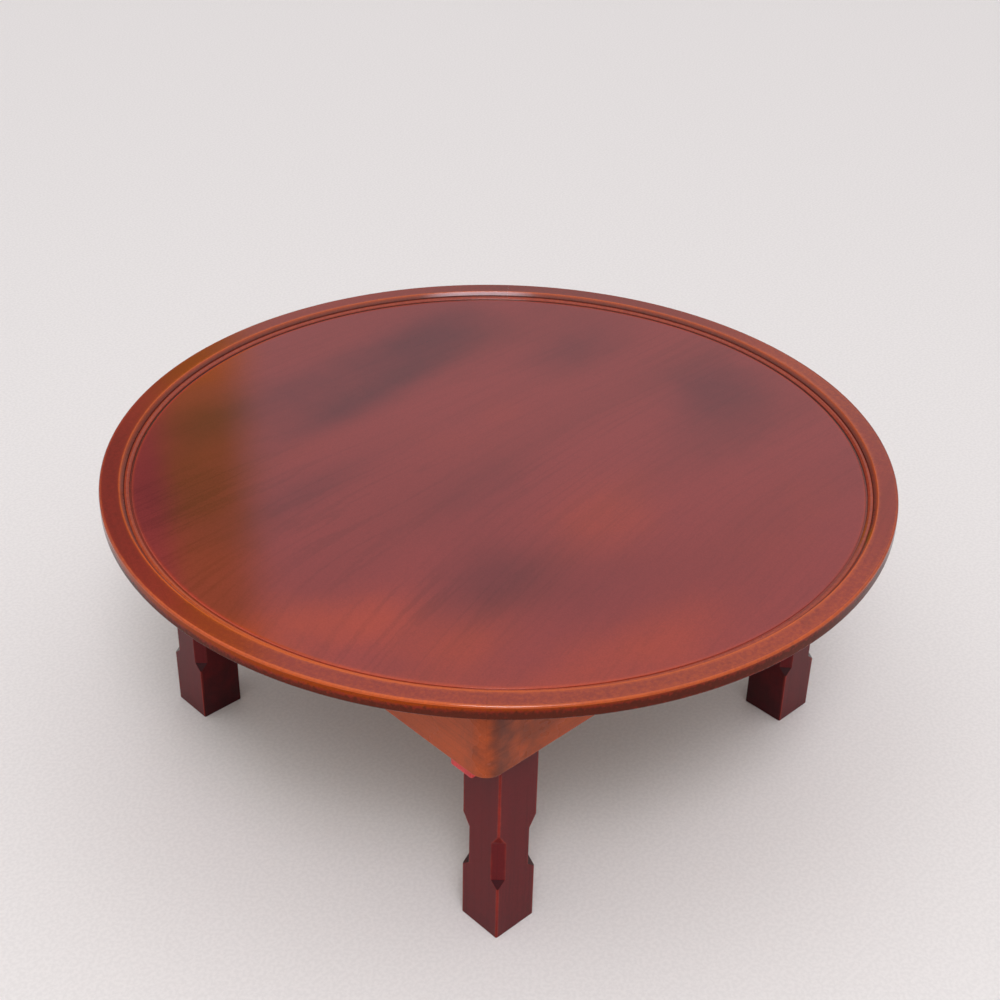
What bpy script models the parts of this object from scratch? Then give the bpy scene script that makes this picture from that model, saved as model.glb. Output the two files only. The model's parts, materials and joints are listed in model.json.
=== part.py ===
"""Low round tray table with four legs that fold flat under its top.

Metres, +Z up. The origin is on the floor under the middle of the top, and the
apron boards lie along X and Y. Every corner holds the same set of pieces,
turned a quarter turn about Z, so the folded legs follow each other round.
"""

import math

import bmesh
import bpy
from mathutils import Matrix

# Clearance between pieces that touch or seat on each other
SEAT_GAP = 0.0003

# Tray top
TABLE_DIAMETER = 0.800
TABLE_HEIGHT = 0.324
TRAY_DEPTH = 0.005
PANEL_THICKNESS = 0.009
PANEL_EDGE_EASE = 0.0008
TONGUE_LENGTH = 0.006
TONGUE_THICKNESS = 0.003

# Rim, from its outer edge inwards
RIM_SEGMENTS = 8
RIM_WIDTH = 0.0335
RIM_EDGE_ROUND = 0.0022
RIM_EDGE_FACE = 0.0058
RIM_BEVEL_INSET = 0.004
RIM_BAND_WIDTH = 0.0183
RIM_FACET_WIDTH = 0.0048
RIM_FACET_DROP = 0.0026
RIM_QUIRK_WIDTH = 0.0012
RIM_QUIRK_DROP = 0.0010
RIM_BEAD_RADIUS = 0.0023
RIM_BEAD_DROP = 0.0024
RIM_GROOVE_DROP = 0.0064

# Apron, with its sharp corner set in from the table's edge along the diagonal
APRON_CORNER_INSET = 0.0118
APRON_THICKNESS = 0.013
APRON_HEIGHT = 0.082
APRON_CORNER_RADIUS = 0.018
APRON_LOWER_EASE = 0.0012
BATTEN_SIDE = 0.015
BATTEN_LENGTH = 0.120
BATTEN_END_GAP = 0.008
BATTEN_EASE = 0.001

# Legs
LEG_SIDE = 0.0485
LEG_ARRIS = 0.0011
LEG_FOOT_EASE = 0.0008
LEG_HEAD_CORNER = 0.016
NOTCH_START = 0.064
NOTCH_RUN_IN = 0.0075
NOTCH_FLAT = 0.046
NOTCH_RUN_OUT = 0.013
NOTCH_CUT = 0.0094

# Stop blocks, between a leg's outer face and the apron
STOP_THICKNESS = 0.0206
STOP_WIDTH = 0.028
STOP_OFFSET = 0.0045
STOP_HEIGHT = 0.051
STOP_HEAD_ROOM = 0.004
STOP_EASE = 0.0015

# Hinge bracket, pin and spring
SHEET_THICKNESS = 0.002
SHEET_BEND = 0.0005
CHEEK_GAP = 0.0005
CHEEK_LOBE = 0.011
CHEEK_TOP_WIDTH = 0.040
BRACKET_FOLD_SIDE = 0.044
PIN_RADIUS = 0.004
PIN_HEAD_RADIUS = 0.007
PIN_HEAD_HEIGHT = 0.0009
PIN_CROWN_RADIUS = 0.0042
SPRING_THICKNESS = 0.0007
SPRING_WIDTH = 0.030
SPRING_DROP = 0.0215
SPRING_BEND = 0.0015

# Bracket screws
SCREW_RADIUS = 0.0015
SCREW_HEAD_RADIUS = 0.0034
SCREW_HEAD_HEIGHT = 0.0016
SCREW_SINK_HEIGHT = 0.0017
SCREW_GRIP = 0.0062
SCREW_POINT = 0.002
SCREW_SPACING = 0.018
SCREW_STOP_SIDE = 0.0345
SCREW_FOLD_SIDE = 0.034
PILOT_EXTRA_DEPTH = 0.0005

# Smoothness of the round forms
RIM_STEPS = 10
FILLET_STEPS = 4
BEAD_STEPS = 6
HEAD_STEPS = 8
PIN_SIDES = 20
SCREW_SIDES = 12
SMOOTH_ANGLE = math.radians(35)

# Places worked out from the sizes above
UNDERSIDE = TABLE_HEIGHT - TRAY_DEPTH - PANEL_THICKNESS
RIM_OUTER = TABLE_DIAMETER / 2
RIM_INNER = RIM_OUTER - RIM_WIDTH
PANEL_RADIUS = RIM_INNER - SEAT_GAP
TONGUE_MIDDLE = UNDERSIDE + PANEL_THICKNESS / 2
APRON_SIDE = (RIM_OUTER - APRON_CORNER_INSET) * math.sqrt(2)
APRON_INNER = APRON_SIDE / 2 - APRON_THICKNESS
APRON_TOP = UNDERSIDE - SEAT_GAP
LEG_HALF = LEG_SIDE / 2
CHEEK_OUTER = LEG_HALF + CHEEK_GAP + SHEET_THICKNESS
RIVET_ROOM = PIN_HEAD_HEIGHT + 2 * SEAT_GAP
STOP_GAP = STOP_THICKNESS + 2 * SEAT_GAP
BRACKET_TOP = LEG_HALF + SEAT_GAP + SHEET_THICKNESS
BRACKET_UNDERSIDE = LEG_HALF + SEAT_GAP
BRACKET_STOP_SIDE = LEG_HALF + STOP_GAP - 2 * SEAT_GAP
SPRING_FACE = LEG_HALF + SEAT_GAP
SPRING_TOP = BRACKET_UNDERSIDE - SEAT_GAP
HOLE_RADIUS = SCREW_RADIUS + SEAT_GAP
PIVOT_HEIGHT = UNDERSIDE - SEAT_GAP - BRACKET_TOP
PIVOT_STOP_SIDE = APRON_INNER - STOP_GAP - LEG_HALF
PIVOT_CHEEK_SIDE = APRON_INNER - RIVET_ROOM - CHEEK_OUTER

CORNERS = ("front_left", "front_right", "back_right", "back_left")
SIDES = ("front", "right", "back", "left")

# Turns of a mesh: a side view drawn in X and Z, and a section drawn in Y and Z
SIDE_VIEW = Matrix.Rotation(math.pi / 2, 4, "X")
SECTION_VIEW = Matrix(((0, 0, 1, 0), (1, 0, 0, 0), (0, 1, 0, 0), (0, 0, 0, 1)))


def arc(centre, radius, start, end, steps):
    """Points on a circle's arc, from the start angle to the end angle in degrees."""
    points = []
    for step in range(steps + 1):
        angle = math.radians(start + (end - start) * step / steps)
        points.append((centre[0] + radius * math.cos(angle), centre[1] + radius * math.sin(angle)))
    return points


def evaluated_mesh(thing, name):
    """The mesh of an object as its modifiers or its curve make it. The object is removed."""
    graph = bpy.context.evaluated_depsgraph_get()
    mesh = bpy.data.meshes.new_from_object(thing.evaluated_get(graph))
    mesh.name = name
    bpy.data.objects.remove(thing)
    return mesh


def scratch_object(data):
    thing = bpy.data.objects.new("scratch", data)
    bpy.context.scene.collection.objects.link(thing)
    return thing


def plate_mesh(name, outline, thickness):
    """A flat closed outline made solid, with half its thickness on each side of Z = 0."""
    curve = bpy.data.curves.new(name, "CURVE")
    curve.dimensions = "2D"
    curve.fill_mode = "BOTH"
    curve.extrude = thickness / 2
    spline = curve.splines.new("POLY")
    spline.points.add(len(outline) - 1)
    for point, (x, y) in zip(spline.points, outline):
        point.co = (x, y, 0, 1)
    spline.use_cyclic_u = True
    mesh = evaluated_mesh(scratch_object(curve), name)
    shape = bmesh.new()
    shape.from_mesh(mesh)
    bmesh.ops.remove_doubles(shape, verts=shape.verts, dist=0.00001)
    bmesh.ops.recalc_face_normals(shape, faces=shape.faces)
    shape.to_mesh(mesh)
    shape.free()
    return mesh


def turned_mesh(name, profile, sides):
    """A profile of (radius, height) points, from the top down, turned about Z."""
    mesh = bpy.data.meshes.new(name)
    points = [(radius, 0, height) for radius, height in profile]
    edges = [(i, i + 1) for i in range(len(points) - 1)]
    mesh.from_pydata(points, edges, [])
    turned = scratch_object(mesh)
    screw = turned.modifiers.new("turn", "SCREW")
    screw.axis = "Z"
    screw.steps = sides
    screw.render_steps = sides
    screw.use_merge_vertices = True
    screw.merge_threshold = 0.00001
    return evaluated_mesh(turned, name)


def box_mesh(name, low, high, ease):
    """A box between two corners, with its edges eased."""
    shape = bmesh.new()
    bmesh.ops.create_cube(shape, size=1)
    for vert in shape.verts:
        vert.co = [low[i] + (high[i] - low[i]) * (vert.co[i] + 0.5) for i in range(3)]
    bmesh.ops.bevel(shape, geom=shape.edges, offset=ease, segments=1, affect="EDGES")
    mesh = bpy.data.meshes.new(name)
    shape.to_mesh(mesh)
    shape.free()
    return mesh


def joined_mesh(name, meshes):
    """Separate bodies kept in one mesh, for cutting several holes at once."""
    shape = bmesh.new()
    for mesh in meshes:
        shape.from_mesh(mesh)
    joined = bpy.data.meshes.new(name)
    shape.to_mesh(joined)
    shape.free()
    return joined


def combined_mesh(name, mesh, tool, operation):
    """One mesh cut by another, or kept where the two meet."""
    thing = scratch_object(mesh)
    cutter = scratch_object(tool)
    boolean = thing.modifiers.new("cut", "BOOLEAN")
    boolean.operation = operation
    boolean.solver = "EXACT"
    boolean.object = cutter
    result = evaluated_mesh(thing, name)
    bpy.data.objects.remove(cutter)
    return result


def moved(mesh, matrix):
    """The mesh itself, turned and moved by a matrix."""
    mesh.transform(matrix)
    return mesh


def make_material(name, colour, roughness, metallic):
    material = bpy.data.materials.new(name)
    material.use_nodes = True
    shader = material.node_tree.nodes["Principled BSDF"]
    shader.inputs["Base Color"].default_value = (*colour, 1)
    shader.inputs["Roughness"].default_value = roughness
    shader.inputs["Metallic"].default_value = metallic
    material.diffuse_color = (*colour, 1)
    return material


def add_part(collection, name, mesh, material, parent=None, matrix=None):
    """A named piece. Copies share a mesh, and the material is set on the object."""
    part = bpy.data.objects.new(name, mesh)
    collection.objects.link(part)
    if not mesh.materials:
        mesh.materials.append(None)
    part.material_slots[0].link = "OBJECT"
    part.material_slots[0].material = material
    mesh.shade_smooth()
    mesh.set_sharp_from_angle(angle=SMOOTH_ANGLE)
    part.parent = parent
    if matrix:
        part.matrix_local = matrix
    return part


def quarter_turn(index):
    return Matrix.Rotation(math.radians(90 * index), 4, "Z")


def rim_profile():
    """The rim's section as (radius, height) points, once round from its outer top edge."""
    top = TABLE_HEIGHT
    round_centre = (RIM_OUTER - RIM_EDGE_ROUND, top - RIM_EDGE_ROUND)
    bevel_top = top - RIM_EDGE_ROUND - RIM_EDGE_FACE
    facet_end = RIM_OUTER - RIM_BAND_WIDTH - RIM_FACET_WIDTH
    quirk = facet_end - RIM_QUIRK_WIDTH
    quirk_height = top - RIM_FACET_DROP - RIM_QUIRK_DROP
    bead_height = top - RIM_BEAD_DROP - RIM_BEAD_RADIUS
    bead_end = math.asin((quirk_height - bead_height) / RIM_BEAD_RADIUS)
    bead_middle = quirk - RIM_BEAD_RADIUS * math.cos(bead_end)
    groove_floor = top - RIM_GROOVE_DROP
    slot_radius = RIM_INNER + TONGUE_LENGTH
    slot_half = TONGUE_THICKNESS / 2 + SEAT_GAP
    points = arc(round_centre, RIM_EDGE_ROUND, 90, 0, FILLET_STEPS)
    points.append((RIM_OUTER, bevel_top))
    points.append((RIM_OUTER - RIM_BEVEL_INSET, UNDERSIDE))
    points.append((RIM_INNER, UNDERSIDE))
    points.append((RIM_INNER, TONGUE_MIDDLE - slot_half))
    points.append((slot_radius, TONGUE_MIDDLE - slot_half))
    points.append((slot_radius, TONGUE_MIDDLE + slot_half))
    points.append((RIM_INNER, TONGUE_MIDDLE + slot_half))
    points.append((RIM_INNER, groove_floor))
    points.append((bead_middle - RIM_BEAD_RADIUS, groove_floor))
    points += arc((bead_middle, bead_height), RIM_BEAD_RADIUS, 180, math.degrees(bead_end), BEAD_STEPS)
    points.append((facet_end, top - RIM_FACET_DROP))
    points.append((RIM_OUTER - RIM_BAND_WIDTH, top))
    return points


def rim_segment_mesh():
    """One arc of the rim, with half a joint's gap left at each end."""
    sweep = 2 * math.pi / RIM_SEGMENTS - SEAT_GAP / RIM_INNER
    shape = bmesh.new()
    corners = [shape.verts.new((radius, 0, height)) for radius, height in rim_profile()]
    section = shape.faces.new(corners)
    bmesh.ops.spin(
        shape, geom=[section], cent=(0, 0, 0), axis=(0, 0, 1), angle=sweep, steps=RIM_STEPS
    )
    bmesh.ops.recalc_face_normals(shape, faces=shape.faces)
    mesh = bpy.data.meshes.new("rim_segment")
    shape.to_mesh(mesh)
    shape.free()
    return mesh


def panel_mesh():
    """A disc with an eased upper edge and a tongue round it that fits the rim's slot."""
    top = UNDERSIDE + PANEL_THICKNESS
    tongue_radius = PANEL_RADIUS + TONGUE_LENGTH
    tongue_top = TONGUE_MIDDLE + TONGUE_THICKNESS / 2
    tongue_bottom = TONGUE_MIDDLE - TONGUE_THICKNESS / 2
    profile = [
        (0, top),
        (PANEL_RADIUS - PANEL_EDGE_EASE, top),
        (PANEL_RADIUS, top - PANEL_EDGE_EASE),
        (PANEL_RADIUS, tongue_top),
        (tongue_radius, tongue_top),
        (tongue_radius, tongue_bottom),
        (PANEL_RADIUS, tongue_bottom),
        (PANEL_RADIUS, UNDERSIDE),
        (0, UNDERSIDE),
    ]
    return turned_mesh("top_panel", profile, RIM_SEGMENTS * RIM_STEPS)


def apron_board_mesh():
    """The front board: mitred at both ends, each with half of a rounded corner."""
    outer = APRON_SIDE / 2
    mitre = SEAT_GAP / 2 * math.sqrt(2)
    fillet = outer - APRON_CORNER_RADIUS
    outline = []
    for x, y in arc((-fillet, -fillet), APRON_CORNER_RADIUS, 225, 270, FILLET_STEPS):
        outline.append((max(x, y + mitre), y))
    for x, y in arc((fillet, -fillet), APRON_CORNER_RADIUS, 270, 315, FILLET_STEPS):
        outline.append((min(x, -y - mitre), y))
    outline.append((APRON_INNER - mitre, -APRON_INNER))
    outline.append((mitre - APRON_INNER, -APRON_INNER))
    middle = APRON_TOP - APRON_HEIGHT / 2
    mesh = plate_mesh("apron_board", outline, APRON_HEIGHT)
    moved(mesh, Matrix.Translation((0, 0, middle)))
    shape = bmesh.new()
    shape.from_mesh(mesh)
    low = APRON_TOP - APRON_HEIGHT + SEAT_GAP
    lower_edges = []
    for edge in shape.edges:
        first, second = edge.verts
        along_face = abs(first.co.y - second.co.y) < APRON_CORNER_RADIUS / 2
        lower = first.co.z < low and second.co.z < low
        if lower and along_face and edge.calc_face_angle(0) > SMOOTH_ANGLE:
            lower_edges.append(edge)
    bmesh.ops.bevel(shape, geom=lower_edges, offset=APRON_LOWER_EASE, segments=1, affect="EDGES")
    shape.to_mesh(mesh)
    shape.free()
    return mesh


def batten_mesh():
    """The glue block on the front board's free half, short of the next corner's bracket."""
    end = PIVOT_CHEEK_SIDE - CHEEK_OUTER - BATTEN_END_GAP
    low = (end - BATTEN_LENGTH, SEAT_GAP - APRON_INNER, APRON_TOP - BATTEN_SIDE)
    high = (end, SEAT_GAP - APRON_INNER + BATTEN_SIDE, APRON_TOP)
    return box_mesh("apron_batten", low, high, BATTEN_EASE)


def leg_ring(half, cut):
    """The leg's section: a square with its four corners cut."""
    inner = half - cut
    return [
        (half, -inner), (half, inner), (inner, half), (-inner, half),
        (-half, inner), (-half, -inner), (-inner, -half), (inner, -half),
    ]


def leg_mesh():
    """A post about its pivot: notched edges lofted between sections, then a shaped head."""
    flat_start = NOTCH_START + NOTCH_RUN_IN
    flat_end = flat_start + NOTCH_FLAT
    sections = [
        (0, LEG_HALF - LEG_FOOT_EASE, LEG_ARRIS),
        (LEG_FOOT_EASE, LEG_HALF, LEG_ARRIS),
        (NOTCH_START, LEG_HALF, LEG_ARRIS),
        (flat_start, LEG_HALF, NOTCH_CUT),
        (flat_end, LEG_HALF, NOTCH_CUT),
        (flat_end + NOTCH_RUN_OUT, LEG_HALF, LEG_ARRIS),
        (PIVOT_HEIGHT + LEG_SIDE, LEG_HALF, LEG_ARRIS),
    ]
    shape = bmesh.new()
    rings = []
    for height, half, cut in sections:
        ring = leg_ring(half, cut)
        rings.append([shape.verts.new((x, y, height - PIVOT_HEIGHT)) for x, y in ring])
    for lower, upper in zip(rings, rings[1:]):
        for i in range(len(lower)):
            j = (i + 1) % len(lower)
            shape.faces.new((lower[i], lower[j], upper[j], upper[i]))
    shape.faces.new(reversed(rings[0]))
    shape.faces.new(rings[-1])
    post = bpy.data.meshes.new("leg_post")
    shape.to_mesh(post)
    shape.free()
    corner = LEG_HALF - LEG_HEAD_CORNER
    outline = [(-LEG_SIDE, -PIVOT_HEIGHT - LEG_SIDE), (LEG_SIDE, -PIVOT_HEIGHT - LEG_SIDE), (LEG_SIDE, 0)]
    outline += arc((0, 0), LEG_HALF, 0, 90, HEAD_STEPS)
    outline += arc((-corner, corner), LEG_HEAD_CORNER, 90, 180, HEAD_STEPS)
    outline.append((-LEG_SIDE, corner))
    head = moved(plate_mesh("leg_head", outline, 2 * LEG_SIDE), SIDE_VIEW)
    shaped = combined_mesh("leg_shaped", post, head, "INTERSECT")
    return combined_mesh("leg", shaped, pin_bore(), "DIFFERENCE")


def pin_bore():
    """A cutter for the pin's hole, along the hinge axis and past both cheeks."""
    radius = PIN_RADIUS + SEAT_GAP
    profile = [(0, LEG_SIDE), (radius, LEG_SIDE), (radius, -LEG_SIDE), (0, -LEG_SIDE)]
    return moved(turned_mesh("pin_bore", profile, PIN_SIDES), SIDE_VIEW)


def pin_mesh():
    """A pin with a low round head outside each cheek."""
    seat = CHEEK_OUTER + SEAT_GAP
    end = seat + PIN_HEAD_HEIGHT
    upper = [
        (0, end),
        (PIN_CROWN_RADIUS, end),
        (PIN_HEAD_RADIUS, seat + PIN_HEAD_HEIGHT / 3),
        (PIN_HEAD_RADIUS, seat),
        (PIN_RADIUS, seat),
    ]
    lower = [(radius, -height) for radius, height in reversed(upper)]
    return moved(turned_mesh("hinge_pin", upper + lower, PIN_SIDES), SIDE_VIEW)


def screw_spots():
    """The screws of one bracket about its pivot: two on the stop side, two flush ones on the fold side."""
    spots = []
    for across in (-SCREW_SPACING / 2, SCREW_SPACING / 2):
        spots.append((-SCREW_STOP_SIDE, across, False))
    for across in (-SCREW_SPACING / 2, SCREW_SPACING / 2):
        spots.append((SCREW_FOLD_SIDE, across, True))
    return spots


def pan_screw_mesh():
    """A round headed screw, from under the spring's foot up into the panel."""
    seat = SPRING_TOP - SPRING_THICKNESS - SEAT_GAP
    tip = BRACKET_TOP + SEAT_GAP + SCREW_GRIP
    profile = [
        (0, tip),
        (SCREW_RADIUS, tip - SCREW_POINT),
        (SCREW_RADIUS, seat),
        (SCREW_HEAD_RADIUS, seat),
        (SCREW_HEAD_RADIUS, seat - SCREW_HEAD_HEIGHT / 2),
        (SCREW_HEAD_RADIUS / 2, seat - SCREW_HEAD_HEIGHT),
        (0, seat - SCREW_HEAD_HEIGHT),
    ]
    return turned_mesh("pan_screw", profile, SCREW_SIDES)


def flush_screw_mesh():
    """A countersunk screw whose head lies inside the sheet, so that a folded leg passes under it."""
    face = BRACKET_UNDERSIDE
    tip = BRACKET_TOP + SEAT_GAP + SCREW_GRIP
    profile = [
        (0, tip),
        (SCREW_RADIUS, tip - SCREW_POINT),
        (SCREW_RADIUS, face + SCREW_SINK_HEIGHT),
        (SCREW_HEAD_RADIUS, face),
        (0, face),
    ]
    return turned_mesh("flush_screw", profile, SCREW_SIDES)


def hole_mesh(flush):
    """A cutter for one screw's hole in the sheet, with a countersink for a flush head."""
    top = BRACKET_TOP + SHEET_THICKNESS
    bottom = BRACKET_UNDERSIDE - LEG_HALF
    profile = [(0, top), (HOLE_RADIUS, top)]
    if flush:
        head = SCREW_HEAD_RADIUS + SEAT_GAP
        slope = (SCREW_HEAD_RADIUS - SCREW_RADIUS) / SCREW_SINK_HEIGHT
        below = SEAT_GAP
        profile.append((HOLE_RADIUS, BRACKET_UNDERSIDE + SCREW_SINK_HEIGHT))
        profile.append((head + slope * below, BRACKET_UNDERSIDE - below))
        profile.append((0, BRACKET_UNDERSIDE - below))
    else:
        profile.append((HOLE_RADIUS, bottom))
        profile.append((0, bottom))
    return turned_mesh("screw_hole", profile, SCREW_SIDES)


def screw_holes():
    """Cutters for all the screw holes of one bracket."""
    holes = []
    for x, y, flush in screw_spots():
        holes.append(moved(hole_mesh(flush), Matrix.Translation((x, y, 0))))
    return joined_mesh("screw_holes", holes)


def tangent_angle(x, z, radius):
    """The angle, in degrees, at which a line from a point outside touches a circle at the origin."""
    distance = math.hypot(x, z)
    return math.degrees(math.atan2(z, x) - math.acos(radius / distance))


def bracket_mesh():
    """A bent channel over the leg's head, cut in side view to a base and two round cheeks."""
    outer = CHEEK_OUTER
    inner = outer - SHEET_THICKNESS
    turn = SHEET_BEND + SHEET_THICKNESS
    outer_bend = BRACKET_TOP - turn
    section = [(outer, -2 * CHEEK_LOBE)]
    section += arc((outer - turn, outer_bend), turn, 0, 90, FILLET_STEPS)
    section += arc((turn - outer, outer_bend), turn, 90, 180, FILLET_STEPS)
    section.append((-outer, -2 * CHEEK_LOBE))
    section.append((-inner, -2 * CHEEK_LOBE))
    section += arc((turn - outer, outer_bend), SHEET_BEND, 180, 90, FILLET_STEPS)
    section += arc((outer - turn, outer_bend), SHEET_BEND, 90, 0, FILLET_STEPS)
    section.append((inner, -2 * CHEEK_LOBE))
    length = BRACKET_STOP_SIDE + BRACKET_FOLD_SIDE
    channel = moved(plate_mesh("channel", section, 2 * length), SECTION_VIEW)
    half_top = CHEEK_TOP_WIDTH / 2
    touch = tangent_angle(half_top, BRACKET_UNDERSIDE, CHEEK_LOBE)
    side = [
        (-BRACKET_STOP_SIDE, BRACKET_TOP + SHEET_THICKNESS),
        (-BRACKET_STOP_SIDE, BRACKET_UNDERSIDE),
        (-half_top, BRACKET_UNDERSIDE),
    ]
    side += arc((0, 0), CHEEK_LOBE, -180 - touch, touch, 2 * HEAD_STEPS)
    side.append((half_top, BRACKET_UNDERSIDE))
    side.append((BRACKET_FOLD_SIDE, BRACKET_UNDERSIDE))
    side.append((BRACKET_FOLD_SIDE, BRACKET_TOP + SHEET_THICKNESS))
    side_solid = moved(plate_mesh("bracket_side", side, 4 * CHEEK_OUTER), SIDE_VIEW)
    bent = combined_mesh("bracket_bent", channel, side_solid, "INTERSECT")
    drilled = combined_mesh("bracket_drilled", bent, pin_bore(), "DIFFERENCE")
    return combined_mesh("hinge_bracket", drilled, screw_holes(), "DIFFERENCE")


def spring_mesh():
    """A bent strip: a foot under the bracket and a leaf along the leg's outer face."""
    foot_end = -BRACKET_STOP_SIDE
    outer = -SPRING_FACE
    bend = SPRING_BEND + SPRING_THICKNESS
    centre = (outer - bend, SPRING_TOP - bend)
    outline = [(foot_end, SPRING_TOP - SPRING_THICKNESS)]
    outline += arc(centre, SPRING_BEND, 90, 0, FILLET_STEPS)
    outline.append((outer - SPRING_THICKNESS, -SPRING_DROP))
    outline.append((outer, -SPRING_DROP))
    outline += arc(centre, bend, 0, 90, FILLET_STEPS)
    outline.append((foot_end, SPRING_TOP))
    strip = moved(plate_mesh("spring_strip", outline, SPRING_WIDTH), SIDE_VIEW)
    return combined_mesh("leaf_spring", strip, screw_holes(), "DIFFERENCE")


def stop_mesh():
    """The block on the apron that the leg's outer face meets, kept below the head's sweep."""
    face = -LEG_HALF - SEAT_GAP
    top = -LEG_HALF - STOP_HEAD_ROOM
    low = (face - STOP_THICKNESS, STOP_OFFSET - STOP_WIDTH / 2, top - STOP_HEIGHT)
    high = (face, STOP_OFFSET + STOP_WIDTH / 2, top)
    return box_mesh("leg_stop", low, high, STOP_EASE)


def pivot_matrix(index):
    """Where a corner's hinge lies, with X the way its leg folds and Y along its axis."""
    place = Matrix.Translation((-PIVOT_STOP_SIDE, -PIVOT_CHEEK_SIDE, PIVOT_HEIGHT))
    return quarter_turn(index) @ place


def pilot_holes():
    """Cutters for the screws' blind holes in the panel's underside, at all four corners."""
    depth = SCREW_GRIP + PILOT_EXTRA_DEPTH
    holes = []
    for index in range(len(CORNERS)):
        for x, y, _ in screw_spots():
            profile = [(0, depth), (HOLE_RADIUS, depth), (HOLE_RADIUS, -depth), (0, -depth)]
            hole = turned_mesh("pilot_hole", profile, SCREW_SIDES)
            place = Matrix.Translation((x, y, BRACKET_TOP + SEAT_GAP))
            holes.append(moved(hole, pivot_matrix(index) @ place))
    return joined_mesh("pilot_holes", holes)


def build_top(parts, cutters):
    lacquer = make_material("panel_lacquer", (0.22, 0.075, 0.060), 0.18, 0)
    rim_lacquer = make_material("rim_lacquer", (0.25, 0.070, 0.040), 0.20, 0)
    cutter = bpy.data.objects.new("pilot_hole_cutter", pilot_holes())
    cutters.objects.link(cutter)
    cutter.hide_render = True
    cutter.display_type = "WIRE"
    panel = add_part(parts, "top_panel", panel_mesh(), lacquer)
    drilling = panel.modifiers.new("pilot_holes", "BOOLEAN")
    drilling.operation = "DIFFERENCE"
    drilling.solver = "EXACT"
    drilling.object = cutter
    segment = rim_segment_mesh()
    for index in range(RIM_SEGMENTS):
        turn = Matrix.Rotation(2 * math.pi * index / RIM_SEGMENTS, 4, "Z")
        add_part(parts, f"rim_segment_{index + 1}", segment, rim_lacquer, matrix=turn)


def build_apron(parts):
    lacquer = make_material("apron_lacquer", (0.30, 0.085, 0.040), 0.25, 0)
    raw_wood = make_material("batten_wood", (0.45, 0.30, 0.17), 0.60, 0)
    board = apron_board_mesh()
    batten = batten_mesh()
    for index, side in enumerate(SIDES):
        add_part(parts, f"apron_{side}", board, lacquer, matrix=quarter_turn(index))
        add_part(parts, f"apron_batten_{side}", batten, raw_wood, matrix=quarter_turn(index))


def build_corners(parts):
    """Each corner's pieces hang on an empty at its pivot, so a leg turns about its own origin."""
    leg_lacquer = make_material("leg_lacquer", (0.100, 0.022, 0.026), 0.22, 0)
    red_paint = make_material("stop_paint", (0.60, 0.05, 0.045), 0.40, 0)
    zinc_steel = make_material("bracket_steel", (0.55, 0.55, 0.53), 0.35, 1)
    pin_steel = make_material("pin_steel", (0.50, 0.50, 0.50), 0.30, 1)
    spring_steel = make_material("spring_steel", (0.22, 0.23, 0.26), 0.30, 1)
    screw_steel = make_material("screw_steel", (0.60, 0.56, 0.42), 0.35, 1)
    pieces = [
        ("leg", leg_mesh(), leg_lacquer),
        ("leg_stop", stop_mesh(), red_paint),
        ("hinge_bracket", bracket_mesh(), zinc_steel),
        ("hinge_pin", pin_mesh(), pin_steel),
        ("leaf_spring", spring_mesh(), spring_steel),
    ]
    pan_screw = pan_screw_mesh()
    flush_screw = flush_screw_mesh()
    for index, corner in enumerate(CORNERS):
        pivot = bpy.data.objects.new(f"pivot_{corner}", None)
        parts.objects.link(pivot)
        pivot.matrix_world = pivot_matrix(index)
        for name, mesh, material in pieces:
            add_part(parts, f"{name}_{corner}", mesh, material, parent=pivot)
        for number, (x, y, flush) in enumerate(screw_spots(), start=1):
            screw = flush_screw if flush else pan_screw
            place = Matrix.Translation((x, y, 0))
            add_part(parts, f"bracket_screw_{corner}_{number}", screw, screw_steel, pivot, place)


def main():
    for thing in list(bpy.data.objects):
        bpy.data.objects.remove(thing)
    parts = bpy.data.collections.new("low_tray_table")
    cutters = bpy.data.collections.new("low_tray_table_cutters")
    for collection in (parts, cutters):
        bpy.context.scene.collection.children.link(collection)
    build_top(parts, cutters)
    build_apron(parts)
    build_corners(parts)


main()
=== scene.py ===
"""Looks of a low round tray table with red lacquer and four legs that fold under its top.

Metres, +Z up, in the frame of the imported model: the origin is on the floor under
the middle of the top, and the apron boards lie along X and Y.
"""

import json

import bmesh
import bpy
import numpy as np
from mathutils import Matrix, Vector


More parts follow.
